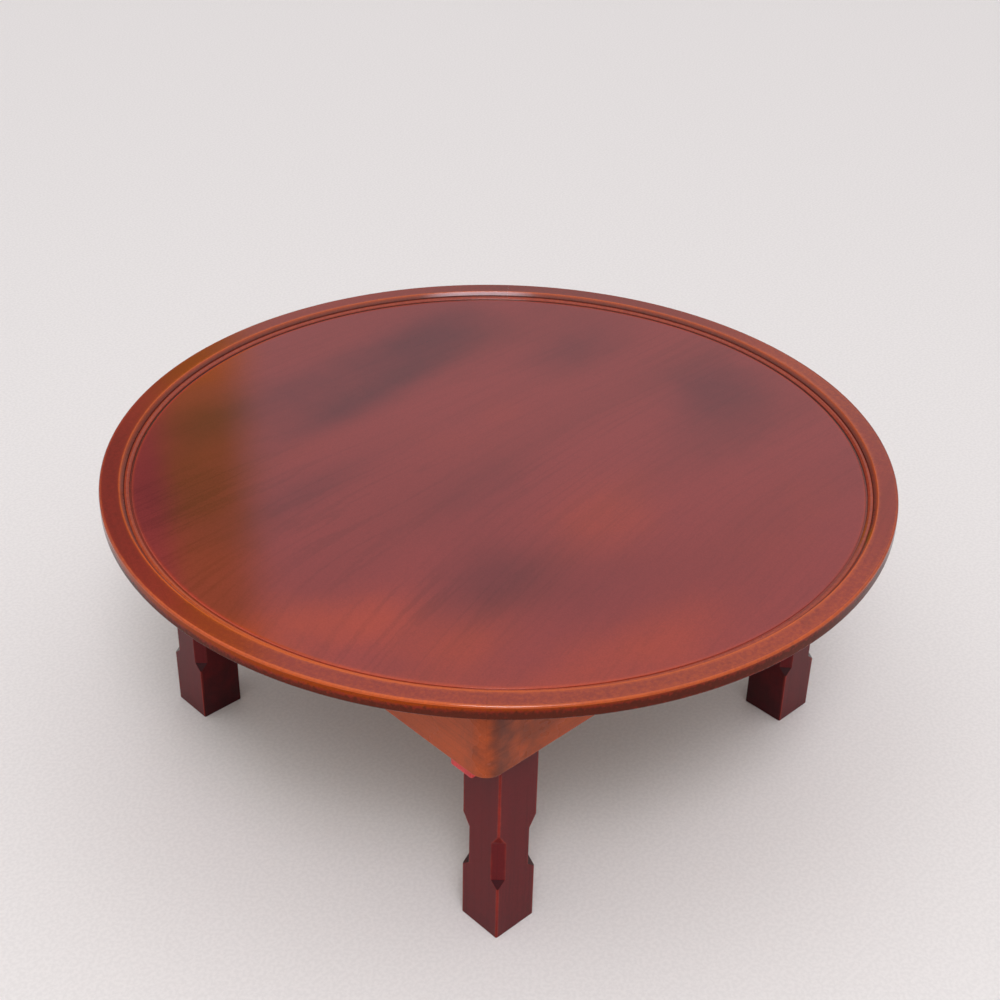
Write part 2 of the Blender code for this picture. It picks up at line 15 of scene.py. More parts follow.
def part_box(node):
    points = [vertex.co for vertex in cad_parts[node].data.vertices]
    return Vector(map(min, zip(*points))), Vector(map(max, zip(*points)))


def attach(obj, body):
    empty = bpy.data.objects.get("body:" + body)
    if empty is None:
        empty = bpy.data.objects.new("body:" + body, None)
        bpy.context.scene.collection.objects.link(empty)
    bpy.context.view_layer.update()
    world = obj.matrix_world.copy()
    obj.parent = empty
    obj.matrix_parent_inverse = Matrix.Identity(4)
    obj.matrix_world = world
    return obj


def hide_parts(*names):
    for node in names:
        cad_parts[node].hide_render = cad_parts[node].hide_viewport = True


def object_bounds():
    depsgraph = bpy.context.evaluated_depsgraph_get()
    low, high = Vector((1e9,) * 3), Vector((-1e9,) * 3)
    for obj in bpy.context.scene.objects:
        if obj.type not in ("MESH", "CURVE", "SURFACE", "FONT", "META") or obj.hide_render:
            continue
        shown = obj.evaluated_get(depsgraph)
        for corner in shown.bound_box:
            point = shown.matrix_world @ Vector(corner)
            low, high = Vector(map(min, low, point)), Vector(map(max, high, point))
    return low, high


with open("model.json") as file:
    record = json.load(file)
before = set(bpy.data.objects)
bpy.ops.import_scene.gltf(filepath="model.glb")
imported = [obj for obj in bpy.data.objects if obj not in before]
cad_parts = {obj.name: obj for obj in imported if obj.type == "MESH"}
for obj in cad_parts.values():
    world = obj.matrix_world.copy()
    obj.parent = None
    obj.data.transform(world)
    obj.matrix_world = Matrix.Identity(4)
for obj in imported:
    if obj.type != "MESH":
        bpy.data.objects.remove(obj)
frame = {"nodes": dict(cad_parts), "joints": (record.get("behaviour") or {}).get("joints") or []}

cad_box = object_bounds()

# Top panel: a round plywood board faced with veneer under glossy red lacquer, which was sprayed
# thinner in places and smoked in others, and has worn thin at the edge, where a painted highlight also
# lightens the lip at the left of the front. A tongue round the board is glued into the rim's slot.
PANEL_TONGUE = 0.006
PANEL_TONGUE_HALF = 0.0015
PANEL_EDGE_ROUND = 0.0005
PANEL_EDGE_REACH = 0.0026
PANEL_EDGE_STEPS = 5
PANEL_LIP = 0.0028
PANEL_LIP_DEPTH = 0.0009
PANEL_SET_DOWN = 0.0013
PANEL_CENTRE = 0.003
PANEL_SIDES = 256
PANEL_RINGS = 80
PANEL_RING_CROWDING = 1.6
PANEL_UNDER_RINGS = 20
SHARP_ANGLE = np.radians(50)
VENEER_TURN = np.radians(8)
VENEER_BEND = 0.38
VENEER_BENDS_FROM = (0.15, -0.18)
VENEER_SLANT = 0.5
VENEER_CURVE = 0.75
PANEL_BODY = (0.205, 0.0245, 0.0225, 1)
PANEL_THIN = (0.37, 0.042, 0.012, 1)
PANEL_SMOKED = (0.085, 0.010, 0.014, 1)
PLYWOOD_TONES = ((0.30, 0.165, 0.085, 1), (0.44, 0.275, 0.15, 1))
PLYWOOD_LINES = (0.20, 0.10, 0.05, 1)
PLYWOOD_PORES = (0.16, 0.08, 0.04, 1)

# Worn lacquer at the edge: strength and reach of two rings, and the bearing where it is most worn and
# how far that swings; then a painted highlight on the lip: its bearing, its narrowness and its strength
WORN_RINGS = ((0.85, 0.0023), (0.12, 0.0115))
WORN_MOST = np.radians(75)
WORN_SWING = 0.35
HIGHLIGHT_MOST = np.radians(204)
HIGHLIGHT_POWER = 6
PANEL_LIP_HIGHLIGHT = 0.75

# Patches of the sprayed finish: x and y of the middle, half length along the grain, half width, strength
THIN_PATCHES = np.array([
    (-0.330, -0.080, 0.055, 0.045, 0.52),
    (-0.270, -0.125, 0.065, 0.042, 0.50),
    (-0.245, -0.205, 0.085, 0.045, 0.50),
    (-0.005, -0.150, 0.095, 0.055, 0.42),
    (-0.110, -0.320, 0.100, 0.045, 0.46),
    (-0.200, -0.290, 0.080, 0.035, 0.32),
    (-0.100, 0.340, 0.060, 0.030, 0.36),
    (0.150, -0.270, 0.090, 0.050, 0.18),
    (-0.150, 0.155, 0.120, 0.030, 0.22),
    (0.060, 0.060, 0.150, 0.050, 0.12),
    (0.020, 0.300, 0.120, 0.022, 0.08),
])
SMOKED_PATCHES = np.array([
    (-0.060, 0.235, 0.105, 0.070, 0.50),
    (0.120, 0.255, 0.120, 0.055, 0.70),
    (0.290, -0.035, 0.065, 0.055, 0.50),
    (-0.150, -0.150, 0.090, 0.055, 0.50),
    (-0.075, -0.225, 0.095, 0.055, 0.28),
    (-0.180, 0.075, 0.100, 0.030, 0.38),
    (-0.060, -0.030, 0.095, 0.055, 0.32),
    (0.230, 0.120, 0.090, 0.060, 0.48),
    (-0.290, 0.150, 0.100, 0.090, 0.48),
    (-0.190, 0.260, 0.080, 0.050, 0.42),
    (0.225, -0.105, 0.110, 0.075, 0.42),
    (-0.020, 0.185, 0.180, 0.026, 0.42),
])
FIGURE_PATCHES = np.array([
    (-0.265, -0.160, 0.140, 0.060, 0.34),
    (-0.050, 0.000, 0.350, 0.080, 0.08),
    (-0.280, 0.120, 0.120, 0.120, 0.08),
])
FIGURE_LEAST = 0.07


def in_scene(name, data):
    """A new object in the scene, holding a mesh, a lamp or a camera."""
    made = bpy.data.objects.new(name, data)
    bpy.context.scene.collection.objects.link(made)
    return made


def grid_piece(name, points):
    """A closed piece from a grid of points: quads join neighbours, the columns close on themselves,
    and a flat face closes the first row and the last."""
    rows, columns = points.shape[:2]
    index = np.arange(rows * columns).reshape(rows, columns)
    across = np.concatenate([index, index[:, :1]], axis=1)
    quads = np.stack([across[:-1, :-1], across[:-1, 1:], across[1:, 1:], across[1:, :-1]], axis=-1)
    faces = quads.reshape(-1, 4).tolist()
    faces.append(index[0, ::-1].tolist())
    faces.append(index[-1].tolist())
    mesh = bpy.data.meshes.new(name)
    mesh.from_pydata(points.reshape(-1, 3).tolist(), [], faces)
    mesh.shade_smooth()
    mesh.set_sharp_from_angle(angle=SHARP_ANGLE)
    return in_scene(name, mesh)


def paint_mask(piece, name, values):
    """A number on every point of the piece, which its material reads by name."""
    mask = piece.data.attributes.new(name, "FLOAT", "POINT")
    mask.data.foreach_set("value", np.ascontiguousarray(values, np.float32).ravel())


def add_node(tree, kind, inputs=None, **settings):
    """A shader node with its settings. Each input named or numbered is linked, or set to a value."""
    made = tree.nodes.new(kind)
    for key, value in settings.items():
        setattr(made, key, value)
    for key, value in (inputs or {}).items():
        if isinstance(value, bpy.types.NodeSocket):
            tree.links.new(value, made.inputs[key])
        else:
            made.inputs[key].default_value = value
    return made


def calc(tree, operation, *values):
    """A sum, product or other operation on numbers."""
    return add_node(tree, "ShaderNodeMath", dict(enumerate(values)), operation=operation).outputs[0]


def vector_calc(tree, operation, *values):
    """The same for vectors, part by part."""
    return add_node(tree, "ShaderNodeVectorMath", dict(enumerate(values)), operation=operation).outputs[0]


def blended(tree, share, first, second, blend_type="MIX"):
    """Two colours mixed by a share from 0 to 1."""
    sockets = {0: share, 6: first, 7: second}
    return add_node(tree, "ShaderNodeMix", sockets, data_type="RGBA", blend_type=blend_type).outputs[2]


def stepped(tree, value, start, end, low=0.0, high=1.0):
    """A value carried smoothly from low to high between a start and an end."""
    sockets = {"Value": value, "From Min": start, "From Max": end, "To Min": low, "To Max": high}
    return add_node(tree, "ShaderNodeMapRange", sockets, interpolation_type="SMOOTHSTEP").outputs[0]


def faded(tree, mask, share):
    """One, less a share of a mask."""
    return calc(tree, "SUBTRACT", 1.0, calc(tree, "MULTIPLY", mask, share))


def noise(tree, vector, scale, detail=2.0, roughness=0.5):
    """A cloudy value about one half, finer with a larger scale."""
    sockets = {"Vector": vector, "Scale": scale, "Detail": detail, "Roughness": roughness}
    return add_node(tree, "ShaderNodeTexNoise", sockets).outputs[0]


def bumped(tree, height, strength, distance):
    """A normal tilted by the slope of a height."""
    sockets = {"Strength": strength, "Distance": distance, "Height": height}
    return add_node(tree, "ShaderNodeBump", sockets).outputs[0]


def object_place(tree):
    """Object coordinates, in metres, which are the model's own."""
    return add_node(tree, "ShaderNodeTexCoord").outputs["Object"]


def painted(tree, name):
    """The mask of that name on the piece."""
    return add_node(tree, "ShaderNodeAttribute", attribute_name=name).outputs["Fac"]


def shader_group(name, inputs, outputs):
    """A node group with named sockets, as its tree, the sockets that come in and its output node."""
    tree = bpy.data.node_groups.new(name, "ShaderNodeTree")
    for label, kind, value in inputs:
        socket = tree.interface.new_socket(label, in_out="INPUT", socket_type="NodeSocket" + kind)
        if value is not None:
            socket.default_value = value
    for label, kind in outputs:
        tree.interface.new_socket(label, in_out="OUTPUT", socket_type="NodeSocket" + kind)
    return tree, tree.nodes.new("NodeGroupInput").outputs, tree.nodes.new("NodeGroupOutput")


def put_out(tree, gives, **values):
    """Links values to the outputs of a node group by name."""
    for label, value in values.items():
        tree.links.new(value, gives.inputs[label])


def placed(tree, group, inputs):
    """A node group in a material, with its inputs linked or set. Gives its outputs."""
    return add_node(tree, "ShaderNodeGroup", inputs, node_tree=group).outputs


def wood_grain():
    """Figure lines are the feathered level lines of a noise drawn out along the grain and swayed across
    it, strong in some places and faint in others. Pores are the peaks of a finer noise, and tone is a
    broader one."""
    sockets = [
        ("Vector", "Vector", None), ("Across", "Float", 110.0),
        ("Along", "Float", 2.4), ("Sway", "Float", 0.016),
    ]
    outputs = [("Lines", "Float"), ("Pores", "Float"), ("Tone", "Float")]
    tree, given, gives = shader_group("wood_grain", sockets, outputs)
    feather_scale = (110.0, 480.0, 480.0)
    pore_scale = (9.0, 7.0, 7.0)
    tone_scale = (0.6, 0.16, 0.16)
    line_level = 0.57
    line_width = 0.06
    wandering = {"Vector": given["Vector"], "Scale": 3.5, "Detail": 1.0}
    wander = add_node(tree, "ShaderNodeTexNoise", wandering).outputs[1]
    reach = add_node(tree, "ShaderNodeCombineXYZ", {1: given["Sway"], 2: given["Sway"]}).outputs[0]
    bent = vector_calc(tree, "MULTIPLY_ADD", wander, reach, given["Vector"])
    drawing = {0: given["Along"], 1: given["Across"], 2: given["Across"]}
    drawing = add_node(tree, "ShaderNodeCombineXYZ", drawing).outputs[0]
    drawn = vector_calc(tree, "MULTIPLY", bent, drawing)
    feather = noise(tree, vector_calc(tree, "MULTIPLY", bent, feather_scale), 1.0, 1.0)
    figure = calc(tree, "MULTIPLY_ADD", feather, 0.10, noise(tree, drawn, 1.0, 1.0, 0.5))
    level = calc(tree, "ABSOLUTE", calc(tree, "SUBTRACT", figure, line_level))
    strength = stepped(tree, noise(tree, bent, 5.0), 0.35, 0.65, 0.25, 1.0)
    lines = calc(tree, "MULTIPLY", stepped(tree, level, 0.0, line_width, 1.0, 0.0), strength)
    fine = noise(tree, vector_calc(tree, "MULTIPLY", drawn, pore_scale), 1.0, 1.0)
    tone = noise(tree, vector_calc(tree, "MULTIPLY", drawn, tone_scale), 1.0, 2.0)
    put_out(tree, gives, Lines=lines, Pores=stepped(tree, fine, 0.58, 0.72), Tone=tone)
    return tree


def ragged_mask():
    """A mask with an uneven edge: noise is added to it, and the sum is cut off softly at one half."""
    sockets = [
        ("Mask", "Float", 0.0), ("Vector", "Vector", None), ("Scale", "Float", 90.0),
        ("Ragged", "Float", 0.4), ("Soft", "Float", 0.35),
    ]
    tree, given, gives = shader_group("ragged_mask", sockets, [("Mask", "Float")])
    rough = calc(tree, "SUBTRACT", noise(tree, given["Vector"], given["Scale"], 4.0, 0.6), 0.5)
    uneven = calc(tree, "ADD", given["Mask"], calc(tree, "MULTIPLY", rough, given["Ragged"]))
    start = calc(tree, "SUBTRACT", 0.5, given["Soft"])
    end = calc(tree, "ADD", 0.5, given["Soft"])
    put_out(tree, gives, Mask=stepped(tree, uneven, start, end))
    return tree


def toned_lacquer():
    """The lacquer's body colour, mixed to its thin and then its smoked colour by two masks.
    The grain's lines and pores darken it by their shares, and its tone and a fine speckle vary it."""
    sockets = [
        ("Body", "Color", None), ("Thin", "Color", None), ("Smoked", "Color", None),
        ("Thin Mask", "Float", 0.0), ("Smoked Mask", "Float", 0.0),
        ("Lines", "Float", 0.0), ("Pores", "Float", 0.0), ("Tone", "Float", 0.5),
        ("Figure", "Float", 0.15), ("Speckle", "Float", 0.5),
    ]
    tree, given, gives = shader_group("toned_lacquer", sockets, [("Colour", "Color")])
    colour = blended(tree, given["Thin Mask"], given["Body"], given["Thin"])
    colour = blended(tree, given["Smoked Mask"], colour, given["Smoked"])
    grain = faded(tree, given["Lines"], given["Figure"])
    grain = calc(tree, "MULTIPLY", grain, faded(tree, given["Pores"], 0.05))
    for label in ("Tone", "Speckle"):
        grain = calc(tree, "MULTIPLY", grain, stepped(tree, given[label], 0.3, 0.7, 0.93, 1.07))
    grey = add_node(tree, "ShaderNodeCombineXYZ", {0: grain, 1: grain, 2: grain}).outputs[0]
    put_out(tree, gives, Colour=blended(tree, 1.0, colour, grey, "MULTIPLY"))
    return tree


def lacquer_skin():
    """The film's own unevenness: a faint orange peel and a few dust nibs as height,
    and wiped smears as roughness."""
    sockets = [("Vector", "Vector", None), ("Rough", "Float", 0.12), ("Pores", "Float", 0.0)]
    outputs = [("Roughness", "Float"), ("Height", "Float")]
    tree, given, gives = shader_group("lacquer_skin", sockets, outputs)
    peel = calc(tree, "MULTIPLY", noise(tree, given["Vector"], 320.0, 1.0), 0.35)
    waves = noise(tree, given["Vector"], 38.0, 1.0)
    nibs = stepped(tree, noise(tree, given["Vector"], 420.0, 0.0), 0.84, 0.88, 0.0, 0.8)
    height = calc(tree, "ADD", calc(tree, "ADD", peel, waves), nibs)
    height = calc(tree, "SUBTRACT", height, calc(tree, "MULTIPLY", given["Pores"], 0.25))
    smears = stepped(tree, noise(tree, given["Vector"], 7.0, 5.0, 0.6), 0.35, 0.75, 0.85, 1.35)
    put_out(tree, gives, Roughness=calc(tree, "MULTIPLY", given["Rough"], smears), Height=height)
    return tree


GRAIN = wood_grain()
RAGGED = ragged_mask()
TONED = toned_lacquer()
SKIN = lacquer_skin()


def bare_material(name):
    """A new material, with its node tree and its Principled shader."""
    material = bpy.data.materials.new(name)
    material.use_nodes = True
    return material, material.node_tree, material.node_tree.nodes["Principled BSDF"]


def surfaced(tree, shader, colour, roughness, normal):
    """Links a colour, a roughness and a normal to a material's Principled shader."""
    tree.links.new(colour, shader.inputs["Base Color"])
    tree.links.new(roughness, shader.inputs["Roughness"])
    tree.links.new(normal, shader.inputs["Normal"])


def lacquer_material(name, colours, grain_vector, grain, uneven, figure, roughness, gloss=0.5):
    """Toned lacquer over wood: the piece's thin and smoked masks, made ragged, choose between three
    colours. The grain follows a named UV map, or Object coordinates turned by an angle. Its figure has
    one strength, or that of a named attribute."""
    material, tree, shader = bare_material(name)
    place = object_place(tree)
    if isinstance(grain_vector, str):
        along = add_node(tree, "ShaderNodeUVMap", uv_map=grain_vector).outputs[0]
    else:
        turned = {"Vector": place, "Rotation": grain_vector}
        along = add_node(tree, "ShaderNodeMapping", turned).outputs[0]
    wood = placed(tree, GRAIN, {"Vector": along, **grain})
    masks = {
        label: placed(tree, RAGGED, {"Mask": painted(tree, mask), "Vector": place, **uneven})[0]
        for label, mask in (("Thin Mask", "thin"), ("Smoked Mask", "smoked"))
    }
    lines = {label: wood[label] for label in ("Lines", "Pores", "Tone")}
    tones = dict(zip(("Body", "Thin", "Smoked"), colours))
    if isinstance(figure, str):
        figure = painted(tree, figure)
    speckle = noise(tree, place, 700.0, 2.0)
    toned = placed(tree, TONED, {**tones, **masks, **lines, "Figure": figure, "Speckle": speckle})
    skin = placed(tree, SKIN, {"Vector": place, "Rough": roughness, "Pores": wood["Pores"]})
    surfaced(tree, shader, toned[0], skin["Roughness"], bumped(tree, skin["Height"], 0.05, 0.0004))
    shader.inputs["IOR"].default_value = 1.5
    shader.inputs["Specular IOR Level"].default_value = gloss
    return material


def plywood_material():
    """Bare plywood: straight grain in two close browns, with darker pores and a dry surface."""
    material, tree, shader = bare_material("bare_plywood")
    place = object_place(tree)
    grain = placed(tree, GRAIN, {"Vector": place, "Across": 70.0})
    colour = blended(tree, grain["Tone"], *PLYWOOD_TONES)
    colour = blended(tree, calc(tree, "MULTIPLY", grain["Lines"], 0.45), colour, PLYWOOD_LINES)
    colour = blended(tree, calc(tree, "MULTIPLY", grain["Pores"], 0.35), colour, PLYWOOD_PORES)
    roughness = stepped(tree, grain["Pores"], 0.0, 1.0, 0.55, 0.75)
    surfaced(tree, shader, colour, roughness, bumped(tree, grain["Pores"], 0.2, 0.0003))
    return material


def bell(distance, width):
    """A bell curve: one at no distance, and next to nothing two widths away."""
    return np.exp(-(distance / width) ** 2)


def highlight_side(turn):
    """How near a bearing about Z is to the side where a painted highlight is strongest: a power of the
    cosine between the two, and nought on the far side."""
    return np.clip(np.cos(turn - HIGHLIGHT_MOST), 0, 1) ** HIGHLIGHT_POWER


def patch_sum(x, y, patches):
    """The sum of soft ovals, each a bell curve along and across the grain of the veneer."""
    right, back, length, width, strength = patches.T
    dx = x[..., None] - right
    dy = y[..., None] - back
    along = (dx * np.cos(VENEER_TURN) + dy * np.sin(VENEER_TURN)) / length
    across = (dy * np.cos(VENEER_TURN) - dx * np.sin(VENEER_TURN)) / width
    return (strength * np.exp(-along ** 2 - across ** 2)).sum(-1)


def veneer_lines(x, y):
    """Places along and across the veneer's grain: straight behind the middle, and in front of it bent
    more and more, most steeply at the left."""
    start, end = VENEER_BENDS_FROM
    share = np.clip((start - y) / (start - end), 0, 1)
    bend = VENEER_BEND * share ** 2 * (3 - 2 * share)
    return x, y - bend * (VENEER_SLANT * x - VENEER_CURVE * x ** 2)


def grain_map(piece, along, across):
    """A UV map in metres for the grain: along it first, across it second."""
    corner = np.empty(len(piece.data.loops), np.int32)
    piece.data.loops.foreach_get("vertex_index", corner)
    flat = np.stack([along.ravel(), across.ravel()], axis=-1)[corner]
    layer = piece.data.uv_layers.new(name="grain")
    layer.data.foreach_set("uv", flat.astype(np.float32).ravel())


def panel_profile(low, high):
    """Radius and height from the middle of the top over the rounded lip and the tongue to the middle
    below, with the rings closer together towards the edge."""
    radius = high.x - PANEL_TONGUE
    lip = radius + PANEL_LIP
    top_height = high.z - PANEL_SET_DOWN
    middle = (low.z + high.z) / 2
    reach = np.linspace(0, 1, PANEL_RINGS)
    crowded = 1 - (1 - reach) ** PANEL_RING_CROWDING
    top = PANEL_CENTRE + (lip - PANEL_EDGE_REACH - PANEL_CENTRE) * crowded
    turn = np.linspace(np.pi / 2, 0, PANEL_EDGE_STEPS + 1)[1:]
    edge = lip - PANEL_EDGE_REACH * (1 - np.cos(turn))
    tongue = np.array([lip, radius, radius, high.x, high.x, radius, radius])
    under = np.linspace(radius, PANEL_CENTRE, PANEL_UNDER_RINGS)[1:]
    heights = [
        np.full(PANEL_RINGS, top_height),
        top_height - PANEL_EDGE_ROUND * (1 - np.sin(turn)),
        np.full(2, top_height - PANEL_LIP_DEPTH),
        middle + np.array([1, 1, -1, -1]) * PANEL_TONGUE_HALF,
        np.full(len(under) + 1, low.z),
    ]
    return np.concatenate([top, edge, tongue, under]), np.concatenate(heights)


def turned_points(radius, height, sides):
    """A profile turned about Z: each row is a circle of its radius at its height."""
    angle = np.linspace(0, 2 * np.pi, sides, endpoint=False)
    across = radius[:, None] * np.cos(angle)
    back = radius[:, None] * np.sin(angle)
    return np.stack([across, back, np.broadcast_to(height[:, None], across.shape)], axis=-1)


panel_low, panel_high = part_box("top_panel")
panel_radii, panel_heights = panel_profile(panel_low, panel_high)
panel_points = turned_points(panel_radii, panel_heights, PANEL_SIDES)
panel = grid_piece("tray_panel", panel_points)
panel_x, panel_y = panel_points[..., 0], panel_points[..., 1]
edge_distance = panel_high.x - PANEL_TONGUE + PANEL_LIP - np.hypot(panel_x, panel_y)
worn = sum(strength * bell(edge_distance, reach) for strength, reach in WORN_RINGS)
panel_turn = np.arctan2(panel_y, panel_x)
worn_and_highlight_by_turn = 1 - WORN_SWING + WORN_SWING * np.cos(panel_turn - WORN_MOST)
# A painted highlight makes the lip lighter at the left of the front, on top of the worn rings
worn_and_highlight_by_turn = worn_and_highlight_by_turn + PANEL_LIP_HIGHLIGHT * highlight_side(panel_turn)
paint_mask(panel, "thin", worn * worn_and_highlight_by_turn + patch_sum(panel_x, panel_y, THIN_PATCHES))
paint_mask(panel, "smoked", patch_sum(panel_x, panel_y, SMOKED_PATCHES))
paint_mask(panel, "figure", FIGURE_LEAST + patch_sum(panel_x, panel_y, FIGURE_PATCHES))
grain_map(panel, *veneer_lines(panel_x, panel_y))
panel_finish = lacquer_material(
    "panel_lacquer", (PANEL_BODY, PANEL_THIN, PANEL_SMOKED), "grain",
    grain={"Across": 62.0, "Along": 1.7, "Sway": 0.03},
    uneven={"Scale": 11.0, "Ragged": 0.5, "Soft": 0.5},
    figure="figure", roughness=0.08,
)
panel.data.materials.append(panel_finish)
panel.data.materials.append(plywood_material())

# The last two faces close the middle of the top and the middle of the underside
face_rows = np.arange(len(panel.data.polygons)) // PANEL_SIDES
face_rows[-2] = 0
underside = face_rows >= len(panel_radii) - PANEL_UNDER_RINGS
panel.data.polygons.foreach_set("material_index", underside.astype(np.int32))
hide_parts("top_panel")
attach(panel, "table")

# Rim: eight arcs of solid wood, butt jointed into a ring round the panel and lacquered with it.
# A moulding cutter made the flat band, the facet, the bead and the groove, and the lacquer
# wore thin on every arris, so the warm wood shows through there.
RIM_SEGMENTS = 8
RIM_STEPS = 40
RIM_JOINT = 0.00005
RIM_ROUND_STEPS = 5
RIM_RUN_STEPS = 12
CORNER_SHARE = 0.1
RIM_BODY = (0.215, 0.022, 0.011, 1)
RIM_THIN = (0.47, 0.076, 0.007, 1)
RIM_SMOKED = (0.050, 0.011, 0.008, 1)
EDGE_THIN = (0.27, 0.038, 0.001, 1)
# The edge's smoked colour is greyer than the lacquer's: it holds a painted reflection of the floor, as the
# edge's own gloss is low
EDGE_SMOKED_AND_SHEEN = (0.088, 0.016, 0.008, 1)

# Corners of the section in millimetres: set in from the outer edge, dropped from the top, rounded by
RIM_CORNERS = np.array([
    (0.0, 0.0, 2.2),
    (0.0, 13.6, 1.4),
    (1.8, 15.4, 0.6),
    (12.0, 14.0, 1.0),
    (33.5, 14.0, 0.1),
    (33.5, 11.3, 0.1),
    (27.5, 11.3, 0.1),
    (27.5, 7.7, 0.1),
    (33.5, 7.7, 0.1),
    (33.5, 7.3, 0.15),
    (29.4, 7.3, 0.3),
    (28.8, 5.8, 1.2),
    (26.6, 4.5, 2.6),
    (24.3, 4.7, 0.8),
    (24.0, 5.4, 0.04),
    (23.4, 3.6, 0.3),
    (20.0, 0.0, 0.8),
])

# Masks round the section by corner number: 0 is the outer top arris, 1 the lower one, 9 to 10 the groove,
# 10 to 13 the bead, 15 to 16 the facet and 16 to 17 the flat band. The smoked mask also holds painted
# shade in the groove at the foot of the bead and in the quirk between the bead and the facet
RIM_THIN_AT = np.array(
    [0, .05, 9, 10, 10.3, 11, 13, 13.3, 14, 14.7, 15, 15.8, 16, 16.1, 16.25, 16.8, 16.92, 17]
)
RIM_THIN_BY = np.array(
    [.3, .3, .2, .2, .2, .30, .34, .12, 0, .2, .38, .50, .85, .3, .04, .06, .2, .3]
)
RIM_SMOKED_AND_SHADE_AT = np.array([0, 10, 10.4, 10.8, 13.1, 13.6, 14, 14.8, 15, 15.3, 15.6, 15.8, 16, 17])
RIM_SMOKED_AND_SHADE_BY = np.array([0, 0, .4, 0, 0, .45, .6, .6, .6, .55, .35, .2, 0, 0])
EDGE_THIN_AT = np.array([0, 0.15, 0.32, 0.48, 0.62, 16])
EDGE_THIN_BY = np.array([.9, .75, .45, .2, .05, 0])
EDGE_SMOKED_AT = np.array([0, 0.2, 0.36, 0.52, 0.7, 1.0, 1.15, 2, 9])
EDGE_SMOKED_BY = np.array([.1, .25, .45, .7, .85, .85, .6, .4, .4])
EDGE_PLACES = (0.04, 8.5)
GROOVE_PLACES = (8.9, 10.4)
BEAD_PLACES = (10.6, 13.2)
BAND_PLACES = (16.1, 16.9)
ARRIS_PLACES = (0.06, 16.94)
INNER_ARRIS_PLACES = (15.94, 16.1)

# By bearing: arrises are rubbed most at the front, where they also carry a painted highlight, the bead
# has a painted highlight a little beside it, painted shade darkens the groove away from the front, and
# the edge's dark part lies lower to the left of the front than to the right
RIM_FRONT = np.radians(226)
ARRIS_RUBBED_AND_HIGHLIGHT = 0.5
# Strength of a painted highlight on the bead's crest, a little to the left of the front
BEAD_HIGHLIGHT = 0.6
GROOVE_SHADE = 1.3
GROOVE_SHADE_MOST = 0.9
EDGE_SLIDE = 0.45
EDGE_SLIDE_MOST = 0.19

# Uneven spraying round the band, with painted light towards the front and painted shade at the back and
# the left: turn about Z, strength of the thin and of the smoked colour
BAND_TURNS = np.radians([46, 76, 106, 136, 166, 196, 226, 256, 286, 301, 316, 346, 376])
BAND_THIN_AND_LIGHT_BY = np.array([0, .05, .05, 0, 0, .12, .22, .34, .20, 0, .10, .36, .05])
BAND_SMOKED_AND_SHADE_BY = np.array([.40, .08, 0, .36, .30, 0, 0, 0, 0, .15, .05, 0, .28])


def rounded_outline(corners, radii, steps, shares):
    """A closed outline with each corner turned into an arc that touches both its sides. Points stand on
    the straight runs at the given shares. Also gives each point's place round it, by corner number."""
    before = np.roll(corners, 1, axis=-2) - corners
    after = np.roll(corners, -1, axis=-2) - corners
    before = before / np.linalg.norm(before, axis=-1, keepdims=True)
    after = after / np.linalg.norm(after, axis=-1, keepdims=True)
    half = np.arccos((before * after).sum(-1, keepdims=True)) / 2
    bisector = before + after
    bisector = bisector / np.linalg.norm(bisector, axis=-1, keepdims=True)
    radii = np.broadcast_to(radii, corners.shape[:-1])[..., None]
    centre = corners + bisector * radii / np.sin(half)
    start = corners + before * radii / np.tan(half)
    end = corners + after * radii / np.tan(half)
    sweep = (np.pi - 2 * half)[..., None]
    part = np.linspace(0, 1, steps + 1)[:, None]
    first = (start - centre)[..., None, :] * np.sin((1 - part) * sweep)
    last = (end - centre)[..., None, :] * np.sin(part * sweep)
    arcs = centre[..., None, :] + (first + last) / np.sin(sweep)
    following = np.roll(start, -1, axis=-2)
    runs = end[..., None, :] + (following - end)[..., None, :] * shares[:, None]
    outline = np.concatenate([arcs, runs], axis=-2)
    number = np.arange(corners.shape[-2])[:, None]
    on_arcs = CORNER_SHARE * (part[:, 0] - 0.5)
    on_runs = CORNER_SHARE / 2 + (1 - CORNER_SHARE) * shares
    along = np.concatenate([on_arcs, on_runs])
    return outline.reshape(*corners.shape[:-2], -1, 2), (number + along).ravel()


def eased_shares(count):
    """Shares of a run, closer together near its two ends."""
    return (1 - np.cos(np.pi * np.arange(1, count) / count)) / 2


rim_finish = lacquer_material(
    "rim_lacquer", (RIM_BODY, RIM_THIN, RIM_SMOKED), "grain", grain={"Across": 160.0},
    uneven={"Scale": 260.0, "Ragged": 0.7, "Soft": 0.45}, figure=0.07, roughness=0.10,
)
edge_finish = lacquer_material(
    "rim_edge_lacquer", (RIM_BODY, EDGE_THIN, EDGE_SMOKED_AND_SHEEN), "grain", grain={"Across": 160.0},
    uneven={"Scale": 300.0, "Ragged": 1.7, "Soft": 0.3}, figure=0.07, roughness=0.22, gloss=0.07,
)
rim_radius = cad_box[1][0]
rim_top = cad_box[1][2]
rim_section, rim_place = rounded_outline(
    RIM_CORNERS[:, :2] / 1000, RIM_CORNERS[:, 2] / 1000, RIM_ROUND_STEPS, eased_shares(RIM_RUN_STEPS)
)
on_edge, on_groove, on_bead, on_band, on_inner_arris = [
    (rim_place > first) & (rim_place < last)
    for first, last in (EDGE_PLACES, GROOVE_PLACES, BEAD_PLACES, BAND_PLACES, INNER_ARRIS_PLACES)
]
on_outer_arris = (rim_place < ARRIS_PLACES[0]) | (rim_place > ARRIS_PLACES[1])
on_arris = (on_outer_arris | on_inner_arris) & ~on_edge
moulding_thin = np.interp(rim_place, RIM_THIN_AT, RIM_THIN_BY)
